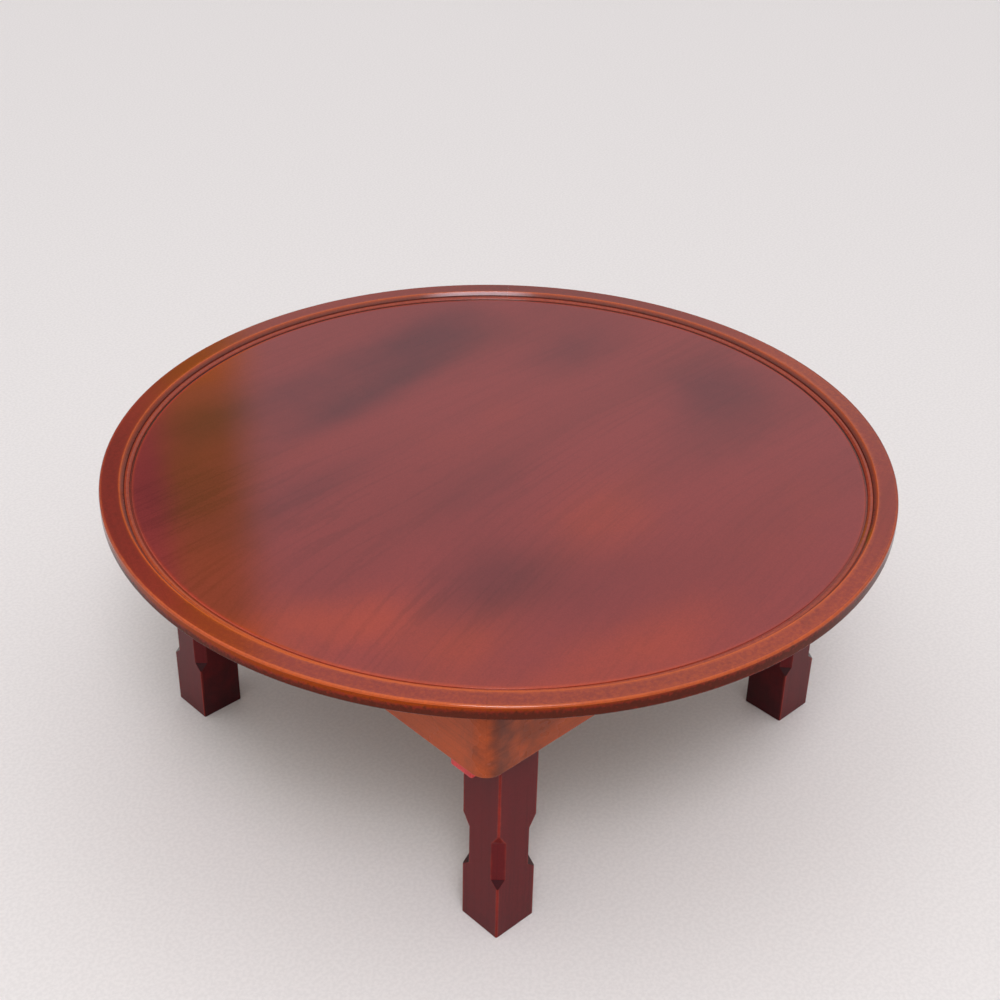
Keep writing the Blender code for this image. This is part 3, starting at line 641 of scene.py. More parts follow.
moulding_smoked_and_shade = np.interp(rim_place, RIM_SMOKED_AND_SHADE_AT, RIM_SMOKED_AND_SHADE_BY)
arc_span = 2 * np.pi / RIM_SEGMENTS
arc_joint = RIM_JOINT / rim_radius
arc_sweep = arc_joint + (arc_span - 2 * arc_joint) * np.concatenate([[0], eased_shares(RIM_STEPS), [1]])
from_middle = (arc_sweep - arc_span / 2)[:, None]
arc_radius = rim_radius - rim_section[:, 0]
arc_height = np.broadcast_to(rim_top - rim_section[:, 1], (len(arc_sweep), len(arc_radius)))
for segment in range(RIM_SEGMENTS):
    turn = (arc_sweep + arc_span * segment)[:, None]
    arc_points = np.stack([arc_radius * np.cos(turn), arc_radius * np.sin(turn), arc_height], axis=-1)
    arc = grid_piece(f"rim_arc_{segment + 1}", arc_points)
    band_thin_and_light = on_band * np.interp(turn, BAND_TURNS, BAND_THIN_AND_LIGHT_BY, period=2 * np.pi)
    band_smoked_and_shade = on_band * np.interp(turn, BAND_TURNS, BAND_SMOKED_AND_SHADE_BY, period=2 * np.pi)
    slide = np.clip(EDGE_SLIDE * np.sin(RIM_FRONT - turn), -EDGE_SLIDE_MOST, EDGE_SLIDE_MOST)
    edge_place = rim_place - slide
    rim_thin = np.where(on_edge, np.interp(edge_place, EDGE_THIN_AT, EDGE_THIN_BY), moulding_thin)
    rim_smoked_and_shade = np.where(on_edge, np.interp(edge_place, EDGE_SMOKED_AT, EDGE_SMOKED_BY), moulding_smoked_and_shade)
    facing = np.cos(turn - RIM_FRONT)
    # Arrises facing the front: wear with a painted highlight; the bead beside the front: a painted highlight
    rubbed = ARRIS_RUBBED_AND_HIGHLIGHT * on_arris * np.clip(facing, 0, 1) + BEAD_HIGHLIGHT * on_bead * highlight_side(turn)
    # Painted shade in the groove, stronger away from the front
    groove_shade = np.clip(GROOVE_SHADE * on_groove * (1 - facing) / 2, 0, GROOVE_SHADE_MOST)
    paint_mask(arc, "thin", rim_thin + band_thin_and_light + rubbed)
    paint_mask(arc, "smoked", rim_smoked_and_shade + band_smoked_and_shade + groove_shade)
    grain_map(arc, arc_radius * np.sin(from_middle) + segment, arc_radius * np.cos(from_middle) + arc_height)
    arc.data.materials.append(rim_finish)
    arc.data.materials.append(edge_finish)
    face_finish = np.zeros(len(arc.data.polygons), np.int32)
    face_finish[:RIM_STEPS * len(on_edge)] = np.tile(on_edge & np.roll(on_edge, -1), RIM_STEPS)
    arc.data.polygons.foreach_set("material_index", face_finish)
    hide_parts(f"rim_segment_{segment + 1}")
    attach(arc, "table")

# Apron: four boards under the top, mitred into a square frame whose corners were then rounded in plan.
# The lacquer is lighter and warmer than the top's, rubbed thin on the lower arris, and darker down each
# rounded corner, where a smudge in the lacquer and painted shade on the turn of the corner lie together.
APRON_THICKNESS = 0.013
APRON_CORNER = 0.018
APRON_ROUND = 0.0014
APRON_MITRE = 0.00005
APRON_ARC_POINTS = 13
APRON_STRAIGHT_POINTS = 40
APRON_ROUND_STEPS = 4
APRON_RUN_STEPS = 24
APRON_BODY = (0.43, 0.073, 0.016, 1)
APRON_THIN = (0.60, 0.118, 0.014, 1)
APRON_SMOKED = (0.150, 0.036, 0.018, 1)
APRON_ARRIS_RUB = 0.0014
APRON_ARRIS_THIN = 0.70
APRON_INSIDE_SMOKED = 0.55
APRON_OUTER_PLACE = 3.5

# Dark streaks down a board, smudges with painted shade on the rounded corners: distance from its left or
# right end, half width and strength
LEFT_STREAKS_AND_SHADE = ((0.012, 0.011, 0.50), (0.045, 0.055, 0.42))
RIGHT_STREAKS_AND_SHADE = ((0.0, 0.035, 0.42),)
SIDES = ("front", "right", "back", "left")


def quarter_turned(points, turns):
    """Points turned about Z by a number of quarter turns."""
    angle = np.pi / 2 * turns
    turn = np.array([[np.cos(angle), np.sin(angle), 0], [-np.sin(angle), np.cos(angle), 0], [0, 0, 1]])
    return points @ np.round(turn)


def apron_paths(half):
    """The front board's outer line in plan, an arc, a straight and an arc, and its straight inner
    line."""
    middle = half - APRON_CORNER
    inner = half - APRON_THICKNESS
    turn = np.linspace(0, np.pi / 4, APRON_ARC_POINTS)
    straight = np.linspace(-middle, middle, APRON_STRAIGHT_POINTS)[1:-1]
    left_arc = -middle - APRON_CORNER * np.cos(np.pi / 4 + turn)
    right_arc = middle + APRON_CORNER * np.sin(turn)
    right = np.concatenate([left_arc, straight, right_arc])
    left_arc = -middle - APRON_CORNER * np.sin(np.pi / 4 + turn)
    right_arc = -middle - APRON_CORNER * np.cos(turn)
    front = np.concatenate([left_arc, np.full(len(straight), -half), right_arc])
    stations = [0, len(turn) - 1, len(right) - len(turn), len(right) - 1]
    inner_right = np.interp(np.arange(len(right)), stations, [-inner, -middle, middle, inner])
    outer_line = np.stack([right, front], axis=-1)
    inner_line = np.stack([inner_right, np.full(len(right), -inner)], axis=-1)
    for line in (outer_line, inner_line):
        line[:, 0] -= np.sign(line[:, 0]) * APRON_MITRE
    return outer_line, inner_line


def apron_points(low, high):
    """The board's rounded section carried along the front: each point lies a share of the way from the
    outer line to the inner line, at its own height."""
    outer_line, inner_line = apron_paths(-low.y)
    corners = np.array([(0, low.z), (APRON_THICKNESS, low.z), (APRON_THICKNESS, high.z), (0, high.z)])
    shares = eased_shares(APRON_RUN_STEPS)
    section, place = rounded_outline(corners, APRON_ROUND, APRON_ROUND_STEPS, shares)
    share = section[:, 0] / APRON_THICKNESS
    plan = outer_line[:, None] + (inner_line - outer_line)[:, None] * share[:, None]
    height = np.broadcast_to(section[:, 1], plan.shape[:2])
    return np.concatenate([plan, height[..., None]], axis=-1), place


apron_finish = lacquer_material(
    "apron_lacquer", (APRON_BODY, APRON_THIN, APRON_SMOKED), "grain", grain={"Across": 90.0},
    uneven={"Scale": 75.0, "Ragged": 1.0, "Soft": 0.45}, figure=0.24, roughness=0.24, gloss=0.18,
)
front_low, front_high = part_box("apron_front")
board_points, board_place = apron_points(front_low, front_high)
from_left = board_points[..., 0] - front_low.x
from_right = front_high.x - board_points[..., 0]
outside = np.cos((board_place - APRON_OUTER_PLACE) * np.pi / 2) > 0
streaks_and_shade = sum(
    strength * bell(from_end - place, width)
    for from_end, rows in ((from_left, LEFT_STREAKS_AND_SHADE), (from_right, RIGHT_STREAKS_AND_SHADE))
    for place, width, strength in rows
)
board_thin = APRON_ARRIS_THIN * bell(board_points[..., 2] - front_low.z, APRON_ARRIS_RUB)
board_smoked_and_shade = np.where(outside, streaks_and_shade, APRON_INSIDE_SMOKED)
for number, side in enumerate(SIDES):
    board = grid_piece(f"apron_board_{side}", quarter_turned(board_points, number))
    paint_mask(board, "thin", board_thin)
    paint_mask(board, "smoked", board_smoked_and_shade)
    grain_map(board, board_points[..., 0] + 3 * number, board_points[..., 2] + board_points[..., 1])
    board.data.materials.append(apron_finish)
    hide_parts(f"apron_{side}")
    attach(board, "table")

# Battens: pine glue blocks in the angle between each board and the underside of the top.
# They are sawn square, planed at the edges and left bare.
BATTEN_ROUND = 0.0013
BLOCK_END_POINTS = 6
BLOCK_STEPS = 4
PINE_TONES = ((0.50, 0.32, 0.165, 1), (0.62, 0.43, 0.245, 1))
PINE_LINES = (0.36, 0.19, 0.08, 1)


def block_points(low, high, edge):
    """A block with round edges: rings of one rounded outline, drawn in at both ends by a quarter
    circle."""
    turn = np.linspace(0, np.pi / 2, BLOCK_END_POINTS)
    inset = edge * (1 - np.sin(turn))
    rise = edge * (1 - np.cos(turn))
    inset = np.concatenate([inset, [0, 0, 0], inset[::-1]])
    span = high[2] - low[2]
    height = low[2] + np.concatenate([rise, span * np.array([0.25, 0.5, 0.75]), span - rise[::-1]])
    x0, x1 = low[0] + inset, high[0] - inset
    y0, y1 = low[1] + inset, high[1] - inset
    corners = np.stack([np.stack(c, axis=-1) for c in ((x1, y0), (x1, y1), (x0, y1), (x0, y0))], axis=-2)
    outline, _ = rounded_outline(corners, edge, BLOCK_STEPS, eased_shares(BLOCK_STEPS))
    tall = np.broadcast_to(height[:, None, None], (*outline.shape[:2], 1))
    return np.concatenate([outline, tall], axis=-1)


def firm_faces(piece):
    """Broad faces keep their own normals, so that only the rounded edges turn the light."""
    firm = piece.modifiers.new("firm_faces", "WEIGHTED_NORMAL")
    firm.weight = 100
    firm.keep_sharp = True


def batten_material():
    """Bare pine: pale straight grain with browner summer growth lines and a dry surface."""
    material, tree, shader = bare_material("batten_pine")
    place = object_place(tree)
    grain = placed(tree, GRAIN, {"Vector": place, "Across": 140.0})
    colour = blended(tree, grain["Tone"], *PINE_TONES)
    colour = blended(tree, calc(tree, "MULTIPLY", grain["Lines"], 0.6), colour, PINE_LINES)
    roughness = stepped(tree, grain["Tone"], 0.2, 0.8, 0.55, 0.7)
    surfaced(tree, shader, colour, roughness, bumped(tree, grain["Lines"], 0.25, 0.0003))
    return material


pine = batten_material()
for side in SIDES:
    batten_low, batten_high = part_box(f"apron_batten_{side}")
    batten = grid_piece(f"glue_batten_{side}", block_points(batten_low, batten_high, BATTEN_ROUND))
    firm_faces(batten)
    batten.data.materials.append(pine)
    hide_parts(f"apron_batten_{side}")
    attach(batten, "table")

# Stop blocks: wooden blocks painted bright red with a brush and glued inside the apron beside each
# corner. A leg's outer face comes to rest against one when the leg is open.
STOP_ROUND = 0.0019
ENAMEL_TONES = ((0.62, 0.018, 0.022, 1), (0.80, 0.036, 0.040, 1))
ENAMEL_BRUSHED = (0.45, 0.012, 0.014, 1)
BRUSH_SCALE = (900.0, 900.0, 40.0)
CORNERS = ("front_left", "front_right", "back_right", "back_left")


def stop_material():
    """Brushed red enamel: fine upright brush marks and a slightly uneven cover."""
    material, tree, shader = bare_material("red_enamel")
    place = object_place(tree)
    brush = noise(tree, vector_calc(tree, "MULTIPLY", place, BRUSH_SCALE), 1.0, 2.0)
    covered = stepped(tree, noise(tree, place, 120.0, 3.0), 0.35, 0.7)
    colour = blended(tree, covered, *ENAMEL_TONES)
    colour = blended(tree, stepped(tree, brush, 0.55, 0.8, 0.0, 0.3), colour, ENAMEL_BRUSHED)
    roughness = stepped(tree, brush, 0.3, 0.7, 0.30, 0.45)
    surfaced(tree, shader, colour, roughness, bumped(tree, brush, 0.15, 0.0003))
    return material


red_enamel = stop_material()
for corner in CORNERS:
    stop_low, stop_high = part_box(f"leg_stop_{corner}")
    stop = grid_piece(f"stop_block_{corner}", block_points(stop_low, stop_high, STOP_ROUND))
    firm_faces(stop)
    stop.data.materials.append(red_enamel)
    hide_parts(f"leg_stop_{corner}")
    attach(stop, "table")

# Hinge brackets and leaf springs: pressed from zinc plated sheet and from blued spring strip.
# Each bracket is screwed under the top, and its spring lies under the bracket's foot and
# bears on the head of the leg.
SHEET_ROUND = 0.00035
STRIP_ROUND = 0.00018
SAME_POINT = 0.00001
FLAT_ANGLE = np.radians(1)
EDGE_ANGLE = np.radians(40)
SCRATCH_SCALE = (60.0, 60.0, 2600.0)
ZINC_CLEAN = (0.62, 0.60, 0.55, 1)
ZINC_TARNISHED = (0.40, 0.37, 0.30, 1)
BLUED_CLEAN = (0.20, 0.21, 0.25, 1)
BLUED_TARNISHED = (0.11, 0.105, 0.11, 1)


def brushed_metal():
    """Rolled metal: long fine scratches as height and roughness, and a cloudy tarnish mask."""
    sockets = [("Vector", "Vector", None), ("Rough", "Float", 0.3)]
    outputs = [("Roughness", "Float"), ("Height", "Float"), ("Tarnish", "Float")]
    tree, given, gives = shader_group("brushed_metal", sockets, outputs)
    scratch = noise(tree, vector_calc(tree, "MULTIPLY", given["Vector"], SCRATCH_SCALE), 1.0, 3.0, 0.6)
    cloud = noise(tree, given["Vector"], 150.0, 5.0, 0.65)
    rough = calc(tree, "ADD", given["Rough"], stepped(tree, scratch, 0.3, 0.7, -0.05, 0.12))
    rough = calc(tree, "ADD", rough, stepped(tree, cloud, 0.45, 0.75, 0.0, 0.15))
    put_out(tree, gives, Roughness=rough, Height=scratch, Tarnish=stepped(tree, cloud, 0.42, 0.72))
    return tree


BRUSHED = brushed_metal()


def metal_material(name, clean, tarnished, roughness):
    """A metal whose clean colour goes over to its tarnished colour in clouds."""
    material, tree, shader = bare_material(name)
    place = object_place(tree)
    brushed = placed(tree, BRUSHED, {"Vector": place, "Rough": roughness})
    colour = blended(tree, brushed["Tarnish"], clean, tarnished)
    surfaced(tree, shader, colour, brushed["Roughness"], bumped(tree, brushed["Height"], 0.1, 0.0002))
    shader.inputs["Metallic"].default_value = 1.0
    return material


def eased_copy(node, name, edge):
    """A copy of a pressed part, with its doubled points merged, its flat faces made whole
    and its edges rounded."""
    shape = bmesh.new()
    shape.from_mesh(frame["nodes"][node].data)
    bmesh.ops.remove_doubles(shape, verts=shape.verts, dist=SAME_POINT)
    bmesh.ops.dissolve_limit(shape, angle_limit=FLAT_ANGLE, verts=shape.verts, edges=shape.edges)
    mesh = bpy.data.meshes.new(name)
    shape.to_mesh(mesh)
    shape.free()
    mesh.shade_smooth()
    piece = in_scene(name, mesh)
    rounding = piece.modifiers.new("round_edges", "BEVEL")
    rounding.width = edge
    rounding.segments = 2
    rounding.limit_method = "ANGLE"
    rounding.angle_limit = EDGE_ANGLE
    firm_faces(piece)
    return piece


zinc = metal_material("zinc_plate", ZINC_CLEAN, ZINC_TARNISHED, roughness=0.30)
blued = metal_material("blued_strip", BLUED_CLEAN, BLUED_TARNISHED, roughness=0.28)
for corner in CORNERS:
    bracket = eased_copy(f"hinge_bracket_{corner}", f"pressed_bracket_{corner}", SHEET_ROUND)
    bracket.data.materials.append(zinc)
    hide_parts(f"hinge_bracket_{corner}")
    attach(bracket, "table")
    spring = eased_copy(f"leaf_spring_{corner}", f"spring_leaf_{corner}", STRIP_ROUND)
    spring.data.materials.append(blued)
    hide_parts(f"leaf_spring_{corner}")
    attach(spring, "table")

# Bracket screws: yellow passivated wood screws with cross recesses, driven up into the panel.
# Two round heads hold each spring's foot, and two countersunk ones let the folded leg pass.
SCREW_SIDES = 64
SCREW_TIP = 0.0001
SCREW_SHANK = 0.0015
SCREW_POINT = 0.002
SCREW_CROWN = 0.0008
SCREW_FACE_RINGS = 25
ROUND_HEAD = 0.0016
FLUSH_HEAD = 0.0017
RECESS_WIDTH = 0.00042
RECESS_REACH = 0.0019
RECESS_DEPTH = 0.0011
RECESS_SOFT = 0.00016 / 3
PASSIVATED_CLEAN = (0.66, 0.56, 0.34, 1)
PASSIVATED_TARNISHED = (0.42, 0.36, 0.25, 1)


def soft_box(distance, reach):
    """One inside a reach, nought outside it, with a soft step between."""
    return 1 / (1 + np.exp((np.abs(distance) - reach) / RECESS_SOFT))


def screw_points(low, high, flush):
    """A screw turned about its own axis from its tip down to its head, whose lower face is pressed in
    where either arm of a cross lies over it."""
    middle = (np.array(low) + np.array(high)) / 2
    head = (high.x - low.x) / 2
    seat = low.z + (FLUSH_HEAD if flush else ROUND_HEAD)
    face_radii = head * np.sqrt(np.linspace(1, 0, SCREW_FACE_RINGS + 1))[:-1]
    crown = 0.0 if flush else SCREW_CROWN
    face_heights = low.z + crown * (face_radii / head) ** 4
    shank_radii = np.array([SCREW_TIP, SCREW_SHANK, SCREW_SHANK])
    shank_heights = np.array([high.z, high.z - SCREW_POINT, seat])
    radii = np.concatenate([shank_radii, [] if flush else [head], face_radii])
    heights = np.concatenate([shank_heights, [] if flush else [seat], face_heights])
    points = turned_points(radii, heights, SCREW_SIDES)
    x, y = points[..., 0], points[..., 1]
    one_arm = soft_box(x, RECESS_WIDTH) * soft_box(y, RECESS_REACH)
    other_arm = soft_box(y, RECESS_WIDTH) * soft_box(x, RECESS_REACH)
    cross = np.maximum(one_arm, other_arm)
    on_face = np.arange(len(radii)) >= len(radii) - len(face_radii)
    points[..., 2] += RECESS_DEPTH * cross * on_face[:, None]
    return points + np.array([middle[0], middle[1], 0])


passivated = metal_material("passivated_screw", PASSIVATED_CLEAN, PASSIVATED_TARNISHED, roughness=0.30)
for corner in CORNERS:
    for number in (1, 2, 3, 4):
        screw_node = f"bracket_screw_{corner}_{number}"
        screw_low, screw_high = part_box(screw_node)
        turned_screw = screw_points(screw_low, screw_high, number > 2)
        screw = grid_piece(f"wood_screw_{corner}_{number}", turned_screw)
        screw.data.materials.append(passivated)
        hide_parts(screw_node)
        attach(screw, "table")

# Legs: square posts of solid wood with a stopped chamfer, or notch, cut into every edge.
# They are sprayed a darker, purplish red than the top, rubbed through to a warm red on the
# arrises, and their heads are rounded so that they turn inside the brackets.
LEG_ARRIS = 0.0011
LEG_ROUND = 0.0007
LEG_FOOT_ROUND = 0.0010
LEG_HEAD_CORNER = 0.016
NOTCH_HEIGHTS = np.array([0.064, 0.0715, 0.1175, 0.1305])
NOTCH_CUTS = np.array([LEG_ARRIS, 0.0094, 0.0094, LEG_ARRIS])
NOTCH_SOFT = 0.0004
BORE_RADIUS = 0.0043
BORE_HALF = 0.05
BORE_SIDES = 48
LEG_BODY = (0.112, 0.0042, 0.0062, 1)
LEG_THIN = (0.30, 0.022, 0.010, 1)
LEG_SMOKED = (0.040, 0.004, 0.006, 1)

# Rows of points up the post: the lowest and highest of a stretch and how many, or how many alone
LOW_SHAFT = (0.002, 0.0635, 12)
NOTCH_SHAFT = (0.0725, 0.1165, 10)
HIGH_SHAFT_FROM = 0.1315
HIGH_SHAFT_ROWS = 24
HEAD_ROWS = 25
FOOT_ROWS = 6
SLOPE_ROWS = 6
LEG_ROUND_STEPS = 3
LEG_RUN_STEPS = 8

# Worn places, painted light and painted shade: how far wear reaches from an arris or the foot, then
# strengths of the masks. The notch's upper slope is painted lighter and its lower slope darker, the inner
# faces and the head under the apron get painted shade, and the foot a painted contact shadow
LEG_RUB = 0.0014
LEG_ARRIS_RUBBED = 0.62
NOTCH_ARRIS_LESS = 0.25
FOOT_SCUFFED = 0.30
HIGH_SLOPE_LIGHT = 0.30
LOW_SLOPE_SHADE = 0.9
INNER_FACES_SHADE = 0.5
HEAD_SHADE = 0.5
HEAD_SHADE_FROM = 0.20
FOOT_SHADOW = 0.3
END_SHADE = 0.06


def leg_rows(pivot_height, half):
    """Heights of the leg's rows: dense at the foot, at both ends of the notch and round the head."""
    turn = np.linspace(0, np.pi / 2, FOOT_ROWS)
    foot = LEG_FOOT_ROUND * (1 - np.cos(turn))
    soft = np.linspace(-1.5, 1.5, 7) * NOTCH_SOFT
    notch = (NOTCH_HEIGHTS[:, None] + soft).ravel()
    slopes = np.linspace(NOTCH_HEIGHTS[::2], NOTCH_HEIGHTS[1::2], SLOPE_ROWS).ravel()
    low_shaft = np.linspace(*LOW_SHAFT)
    notch_shaft = np.linspace(*NOTCH_SHAFT)
    high_shaft = np.linspace(HIGH_SHAFT_FROM, pivot_height, HIGH_SHAFT_ROWS)
    head = pivot_height + half * np.sin(np.linspace(0, np.pi / 2, HEAD_ROWS))
    rows = np.concatenate([foot, notch, slopes, low_shaft, notch_shaft, high_shaft, head])
    return np.unique(np.round(rows, 7))


def leg_points(pivot, half):
    """Eight cornered rings stacked up the post: the cut of the corners follows the notch, and the two
    ends of each ring follow the head's rounded outline, seen from the side. Also gives each point's
    distance from the nearest corner, and which points of a ring lie on its cut corners."""
    height = leg_rows(pivot[2], half)
    spread = np.linspace(-1, 1, 9) * NOTCH_SOFT
    cut = np.interp(height[:, None] + spread, NOTCH_HEIGHTS, NOTCH_CUTS).mean(-1)
    foot = np.clip(1 - height / LEG_FOOT_ROUND, 0, 1)
    inset = LEG_FOOT_ROUND * (1 - np.sqrt(1 - foot ** 2))
    above = np.clip(height - pivot[2], 0, half)
    corner = half - LEG_HEAD_CORNER
    fold_side = np.sqrt(half ** 2 - above ** 2) - inset
    turned = np.clip(above - corner, 0, LEG_HEAD_CORNER)
    stop_side = -corner - np.sqrt(LEG_HEAD_CORNER ** 2 - turned ** 2) + inset
    across = half - inset
    ring = [
        (fold_side, cut - across), (fold_side, across - cut),
        (fold_side - cut, across), (stop_side + cut, across),
        (stop_side, across - cut), (stop_side, cut - across),
        (stop_side + cut, -across), (fold_side - cut, -across),
    ]
    corners = np.stack([np.stack(point, axis=-1) for point in ring], axis=-2)
    outline, place = rounded_outline(corners, LEG_ROUND, LEG_ROUND_STEPS, eased_shares(LEG_RUN_STEPS))
    nearest = np.linalg.norm(outline[:, :, None] - corners[:, None], axis=-1).min(-1)
    tall = np.broadcast_to(height[:, None, None], (*outline.shape[:2], 1))
    return np.concatenate([outline, tall], axis=-1), nearest, np.floor(place) % 2 == 1


def bored(piece, centre, axis_turns):
    """The piece with the pin's hole through it along Y, turned by quarter turns."""
    ends = np.array([-BORE_HALF, BORE_HALF])
    hole = turned_points(np.full(2, BORE_RADIUS), ends, BORE_SIDES)[..., [0, 2, 1]]
    cutter = grid_piece("pin_hole", quarter_turned(hole, axis_turns) + centre)
    cut = piece.modifiers.new("pin_hole", "BOOLEAN")
    cut.solver = "EXACT"
    cut.object = cutter
    graph = bpy.context.evaluated_depsgraph_get()
    piece.data = bpy.data.meshes.new_from_object(piece.evaluated_get(graph))
    piece.modifiers.clear()
    bpy.data.objects.remove(cutter)


leg_finish = lacquer_material(
    "leg_lacquer", (LEG_BODY, LEG_THIN, LEG_SMOKED), (0, np.pi / 2, 0), grain={"Across": 150.0},
    uneven={"Scale": 70.0, "Ragged": 0.7, "Soft": 0.45}, figure=0.12, roughness=0.14, gloss=0.17,
)
for number, corner in enumerate(CORNERS):
    pivot = np.array(frame["joints"][number]["pos_m"])
    leg_low, leg_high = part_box(f"leg_{corner}")
    half = (leg_high.x - leg_low.x) / 2
    post_points, arris_distance, on_cut = leg_points(pivot, half)
    tall = post_points[..., 2]
    # Painted shade on the lower slope of each notch
    low_slope = on_cut & (tall > NOTCH_HEIGHTS[0]) & (tall < NOTCH_HEIGHTS[1])
    # The upper slope of each notch is painted lighter against its shade
    high_slope = on_cut & (tall > NOTCH_HEIGHTS[2]) & (tall < NOTCH_HEIGHTS[3])
    beside_notch = (tall > NOTCH_HEIGHTS[0]) & (tall < NOTCH_HEIGHTS[3])
    # The faces that look in under the table get painted shade
    inward = post_points[..., :2].max(-1) > half - LEG_ROUND
    rubbed = (LEG_ARRIS_RUBBED - NOTCH_ARRIS_LESS * beside_notch) * bell(arris_distance, LEG_RUB)
    scuffed = FOOT_SCUFFED * bell(tall, LEG_RUB)
    # Painted shade under the apron at the head, and a painted contact shadow at the foot
    near_head = np.clip((tall - HEAD_SHADE_FROM) / END_SHADE, 0, 1)
    near_foot = np.clip(1 - tall / END_SHADE, 0, 1)
    painted_end_shade = HEAD_SHADE * near_head + FOOT_SHADOW * near_foot
    placed_points = quarter_turned(post_points, number) + np.array([pivot[0], pivot[1], 0])
    leg = grid_piece(f"leg_post_{corner}", placed_points)
    paint_mask(leg, "thin", np.maximum(rubbed, scuffed) + HIGH_SLOPE_LIGHT * high_slope)
    paint_mask(leg, "smoked", LOW_SLOPE_SHADE * low_slope + INNER_FACES_SHADE * inward + painted_end_shade)
    leg.data.materials.append(leg_finish)
    bored(leg, pivot, number)
    firm_faces(leg)
    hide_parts(f"leg_{corner}")
    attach(leg, f"leg_{corner}")

# Hinge pins: mild steel rivets through both cheeks of a bracket and the head of its leg.
# Each end was set to a low dome over its cheek.
PIN_RADIUS = 0.004
PIN_HEAD = 0.007
PIN_DOME = 0.0009
PIN_DOME_POWER = 1.2
PIN_DOME_POINTS = 12
PIN_CROWN = 0.00005
PIN_SIDES = 64
RIVET_CLEAN = (0.56, 0.55, 0.53, 1)
RIVET_TARNISHED = (0.34, 0.30, 0.26, 1)


def pin_points(length):
    """A shank between two flat domes, turned about Z: each dome is an arc from its rim to its crown."""
    turn = np.linspace(0, np.pi / 2, PIN_DOME_POINTS)
    radii = PIN_HEAD * np.cos(turn) + PIN_CROWN
    rise = PIN_DOME * np.sin(turn) ** PIN_DOME_POWER
    seat = length / 2 - PIN_DOME
    upper = np.concatenate([[PIN_RADIUS, PIN_HEAD], radii[1:]])
    heights = np.concatenate([[seat, seat], seat + rise[1:]])
    radii = np.concatenate([upper[::-1], upper])
    return turned_points(radii, np.concatenate([heights[::-1], -heights]), PIN_SIDES)


rivet = metal_material("rivet_steel", RIVET_CLEAN, RIVET_TARNISHED, roughness=0.26)
for number, corner in enumerate(CORNERS):
    pin_low, pin_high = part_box(f"hinge_pin_{corner}")
    along = max(pin_high - pin_low)
    pin_middle = np.array((pin_low + pin_high) / 2)
    lying = pin_points(along)[..., [0, 2, 1]] * np.array([1, -1, 1])
    pin = grid_piece(f"rivet_pin_{corner}", quarter_turned(lying, number) + pin_middle)
    pin.data.materials.append(rivet)
    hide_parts(f"hinge_pin_{corner}")
    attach(pin, "table")

# Floor and light: a plain pale floor, a pale surround that the lacquer mirrors, dimmer and warmer
# at one side and brightest overhead, and one soft lamp in front.
FLOOR_HALF = 30.0
FLOOR_COLOUR = (0.765, 0.745, 0.72, 1)
FLOOR_FLECK = (0.7191, 0.7003, 0.6768, 1)
SURROUND_LOW = (0.34, 0.33, 0.335, 1)
SURROUND = (0.70, 0.69, 0.71, 1)
SURROUND_HIGH = (1.08, 1.07, 1.08, 1)
LOW_HEIGHTS = (0.30, 0.52)
HIGH_HEIGHTS = (0.55, 0.95)
SIDE_HEIGHTS = (0.66, 0.80)
WARM_SIDE = (0.28, 0.38, 0.02, 1)
DIM_SIDE = (0.26, 0.16, 0.17, 1)
WARM_FROM = np.radians((9.2, 11.3))
DIM_FROM = np.radians((13.0, 13.9))
DIM_UNTIL = np.radians((28.0, 36.0))
BACKGROUND = (0.80, 0.785, 0.78, 1)
KEY_PLACE = (-1.38, -1.45, 2.30)
KEY_SIZE = 0.85
KEY_POWER = 20.0
SOFT_PATCH = (8.5, 8.0, 8.9, 1)
SOFT_PATCH_TOWARDS = (-0.279, -0.418, 0.865)
SOFT_PATCH_EDGE = np.cos(np.radians((13.5, 3.0)))
CAMERA_HEADING = np.array([0.69731, 0.71677])


def floor_material():
    """A pale plain floor: one colour with a very fine fleck. A camera below it sees through it."""
    material, tree, shader = bare_material("pale_floor")
    place = object_place(tree)
    fleck = stepped(tree, noise(tree, place, 260.0, 3.0), 0.35, 0.65)
    tree.links.new(blended(tree, fleck, FLOOR_FLECK, FLOOR_COLOUR), shader.inputs["Base Color"])
    shader.inputs["Roughness"].default_value = 0.9
    shader.inputs["Specular IOR Level"].default_value = 0.1
    below = add_node(tree, "ShaderNodeNewGeometry").outputs["Backfacing"]
    seen = add_node(tree, "ShaderNodeLightPath").outputs["Is Camera Ray"]
    clear = add_node(tree, "ShaderNodeBsdfTransparent").outputs[0]
    parts = {0: calc(tree, "MULTIPLY", below, seen), 1: shader.outputs[0], 2: clear}
    one_sided = add_node(tree, "ShaderNodeMixShader", parts).outputs[0]
    tree.links.new(one_sided, tree.nodes["Material Output"].inputs["Surface"])
    return material


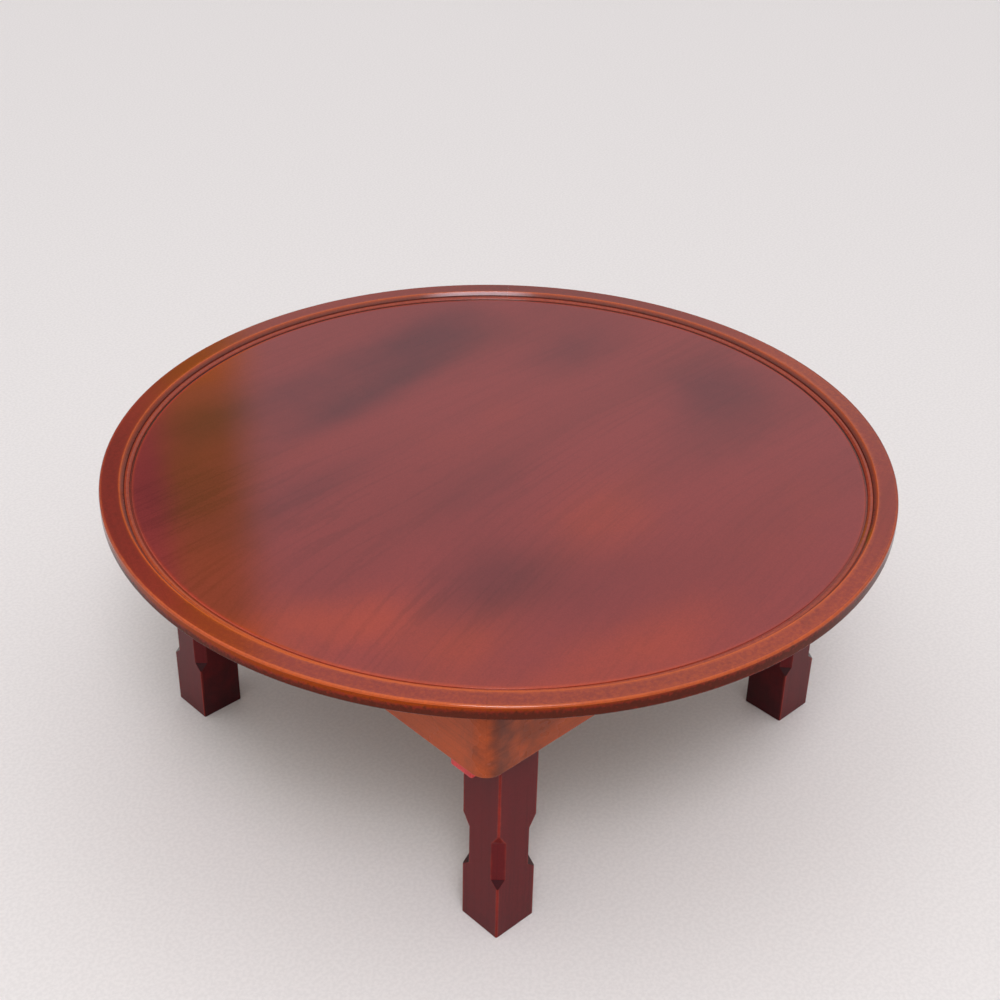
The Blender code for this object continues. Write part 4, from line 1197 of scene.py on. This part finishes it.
def light_surround():
    """The pale surround: dimmer near the floor and brighter overhead, with a soft bright patch there. An
    upright sector to the left of the camera's heading is warmer, and the next one is dim. The camera
    itself sees a plain background."""
    world = bpy.data.worlds.new("surround")
    world.use_nodes = True
    tree = world.node_tree
    direction = add_node(tree, "ShaderNodeTexCoord").outputs["Generated"]
    ahead = (CAMERA_HEADING[0], CAMERA_HEADING[1], 0.0)
    left = (-CAMERA_HEADING[1], CAMERA_HEADING[0], 0.0)
    forward, aside, overhead = [
        add_node(tree, "ShaderNodeVectorMath", {0: direction, 1: axis}, operation="DOT_PRODUCT").outputs[1]
        for axis in (ahead, left, SOFT_PATCH_TOWARDS)
    ]
    bearing = calc(tree, "ARCTAN2", aside, forward)
    height = add_node(tree, "ShaderNodeSeparateXYZ", {0: direction}).outputs[2]
    lit = blended(tree, stepped(tree, height, *LOW_HEIGHTS), SURROUND_LOW, SURROUND)
    lit = blended(tree, stepped(tree, height, *HIGH_HEIGHTS), lit, SURROUND_HIGH)
    beyond = stepped(tree, bearing, *DIM_UNTIL, 1.0, 0.0)
    side = blended(tree, stepped(tree, bearing, *DIM_FROM), WARM_SIDE, DIM_SIDE)
    sector = calc(tree, "MULTIPLY", stepped(tree, bearing, *WARM_FROM), beyond)
    sector = calc(tree, "MULTIPLY", sector, stepped(tree, height, *SIDE_HEIGHTS, 1.0, 0.0))
    lit = blended(tree, sector, lit, side)
    lit = blended(tree, stepped(tree, overhead, *SOFT_PATCH_EDGE), lit, SOFT_PATCH)
    seen = add_node(tree, "ShaderNodeLightPath").outputs["Is Camera Ray"]
    tree.links.new(blended(tree, seen, lit, BACKGROUND), tree.nodes["Background"].inputs["Color"])
    bpy.context.scene.world = world


floor_corners = [(-1, -1, 0), (1, -1, 0), (1, 1, 0), (-1, 1, 0)]
floor_points = (FLOOR_HALF * np.array(floor_corners)).tolist()
floor_mesh = bpy.data.meshes.new("floor")
floor_mesh.from_pydata(floor_points, [], [(0, 1, 2, 3)])
floor_mesh.materials.append(floor_material())
floor = in_scene("floor", floor_mesh)
light_surround()
key_data = bpy.data.lights.new("key_lamp", "AREA")
key_data.shape = "DISK"
key_data.size = KEY_SIZE
key_data.energy = KEY_POWER
key_lamp = in_scene("key_lamp", key_data)
key_lamp.location = KEY_PLACE
key_lamp.rotation_euler = Vector(KEY_PLACE).to_track_quat("Z", "Y").to_euler()

# Camera: the height, heading and lens of the view that the table was measured from, in a square
# frame, with that view's slight roll.
CAMERA_PLACE = np.array([-1.0037, -1.0338, 1.19363])
CAMERA_PITCH = np.radians(32.735)
CAMERA_ROLL = np.radians(1.31)
CAMERA_LENS = 59.4
CAMERA_SENSOR = 36
level_up = np.array([*(CAMERA_HEADING * np.sin(CAMERA_PITCH)), np.cos(CAMERA_PITCH)])
level_right = np.array([CAMERA_HEADING[1], -CAMERA_HEADING[0], 0])
view_right = np.cos(CAMERA_ROLL) * level_right + np.sin(CAMERA_ROLL) * level_up
view_up = np.cos(CAMERA_ROLL) * level_up - np.sin(CAMERA_ROLL) * level_right
turned_axes = np.stack([view_right, view_up, np.cross(view_right, view_up)], axis=-1)
camera_data = bpy.data.cameras.new("camera")
camera_data.sensor_width = CAMERA_SENSOR
camera_data.lens = CAMERA_LENS
camera = in_scene("camera", camera_data)
camera.matrix_world = Matrix.Translation(CAMERA_PLACE) @ Matrix(turned_axes.tolist()).to_4x4()
bpy.context.scene.camera = camera
bpy.context.scene.view_settings.view_transform = "Standard"
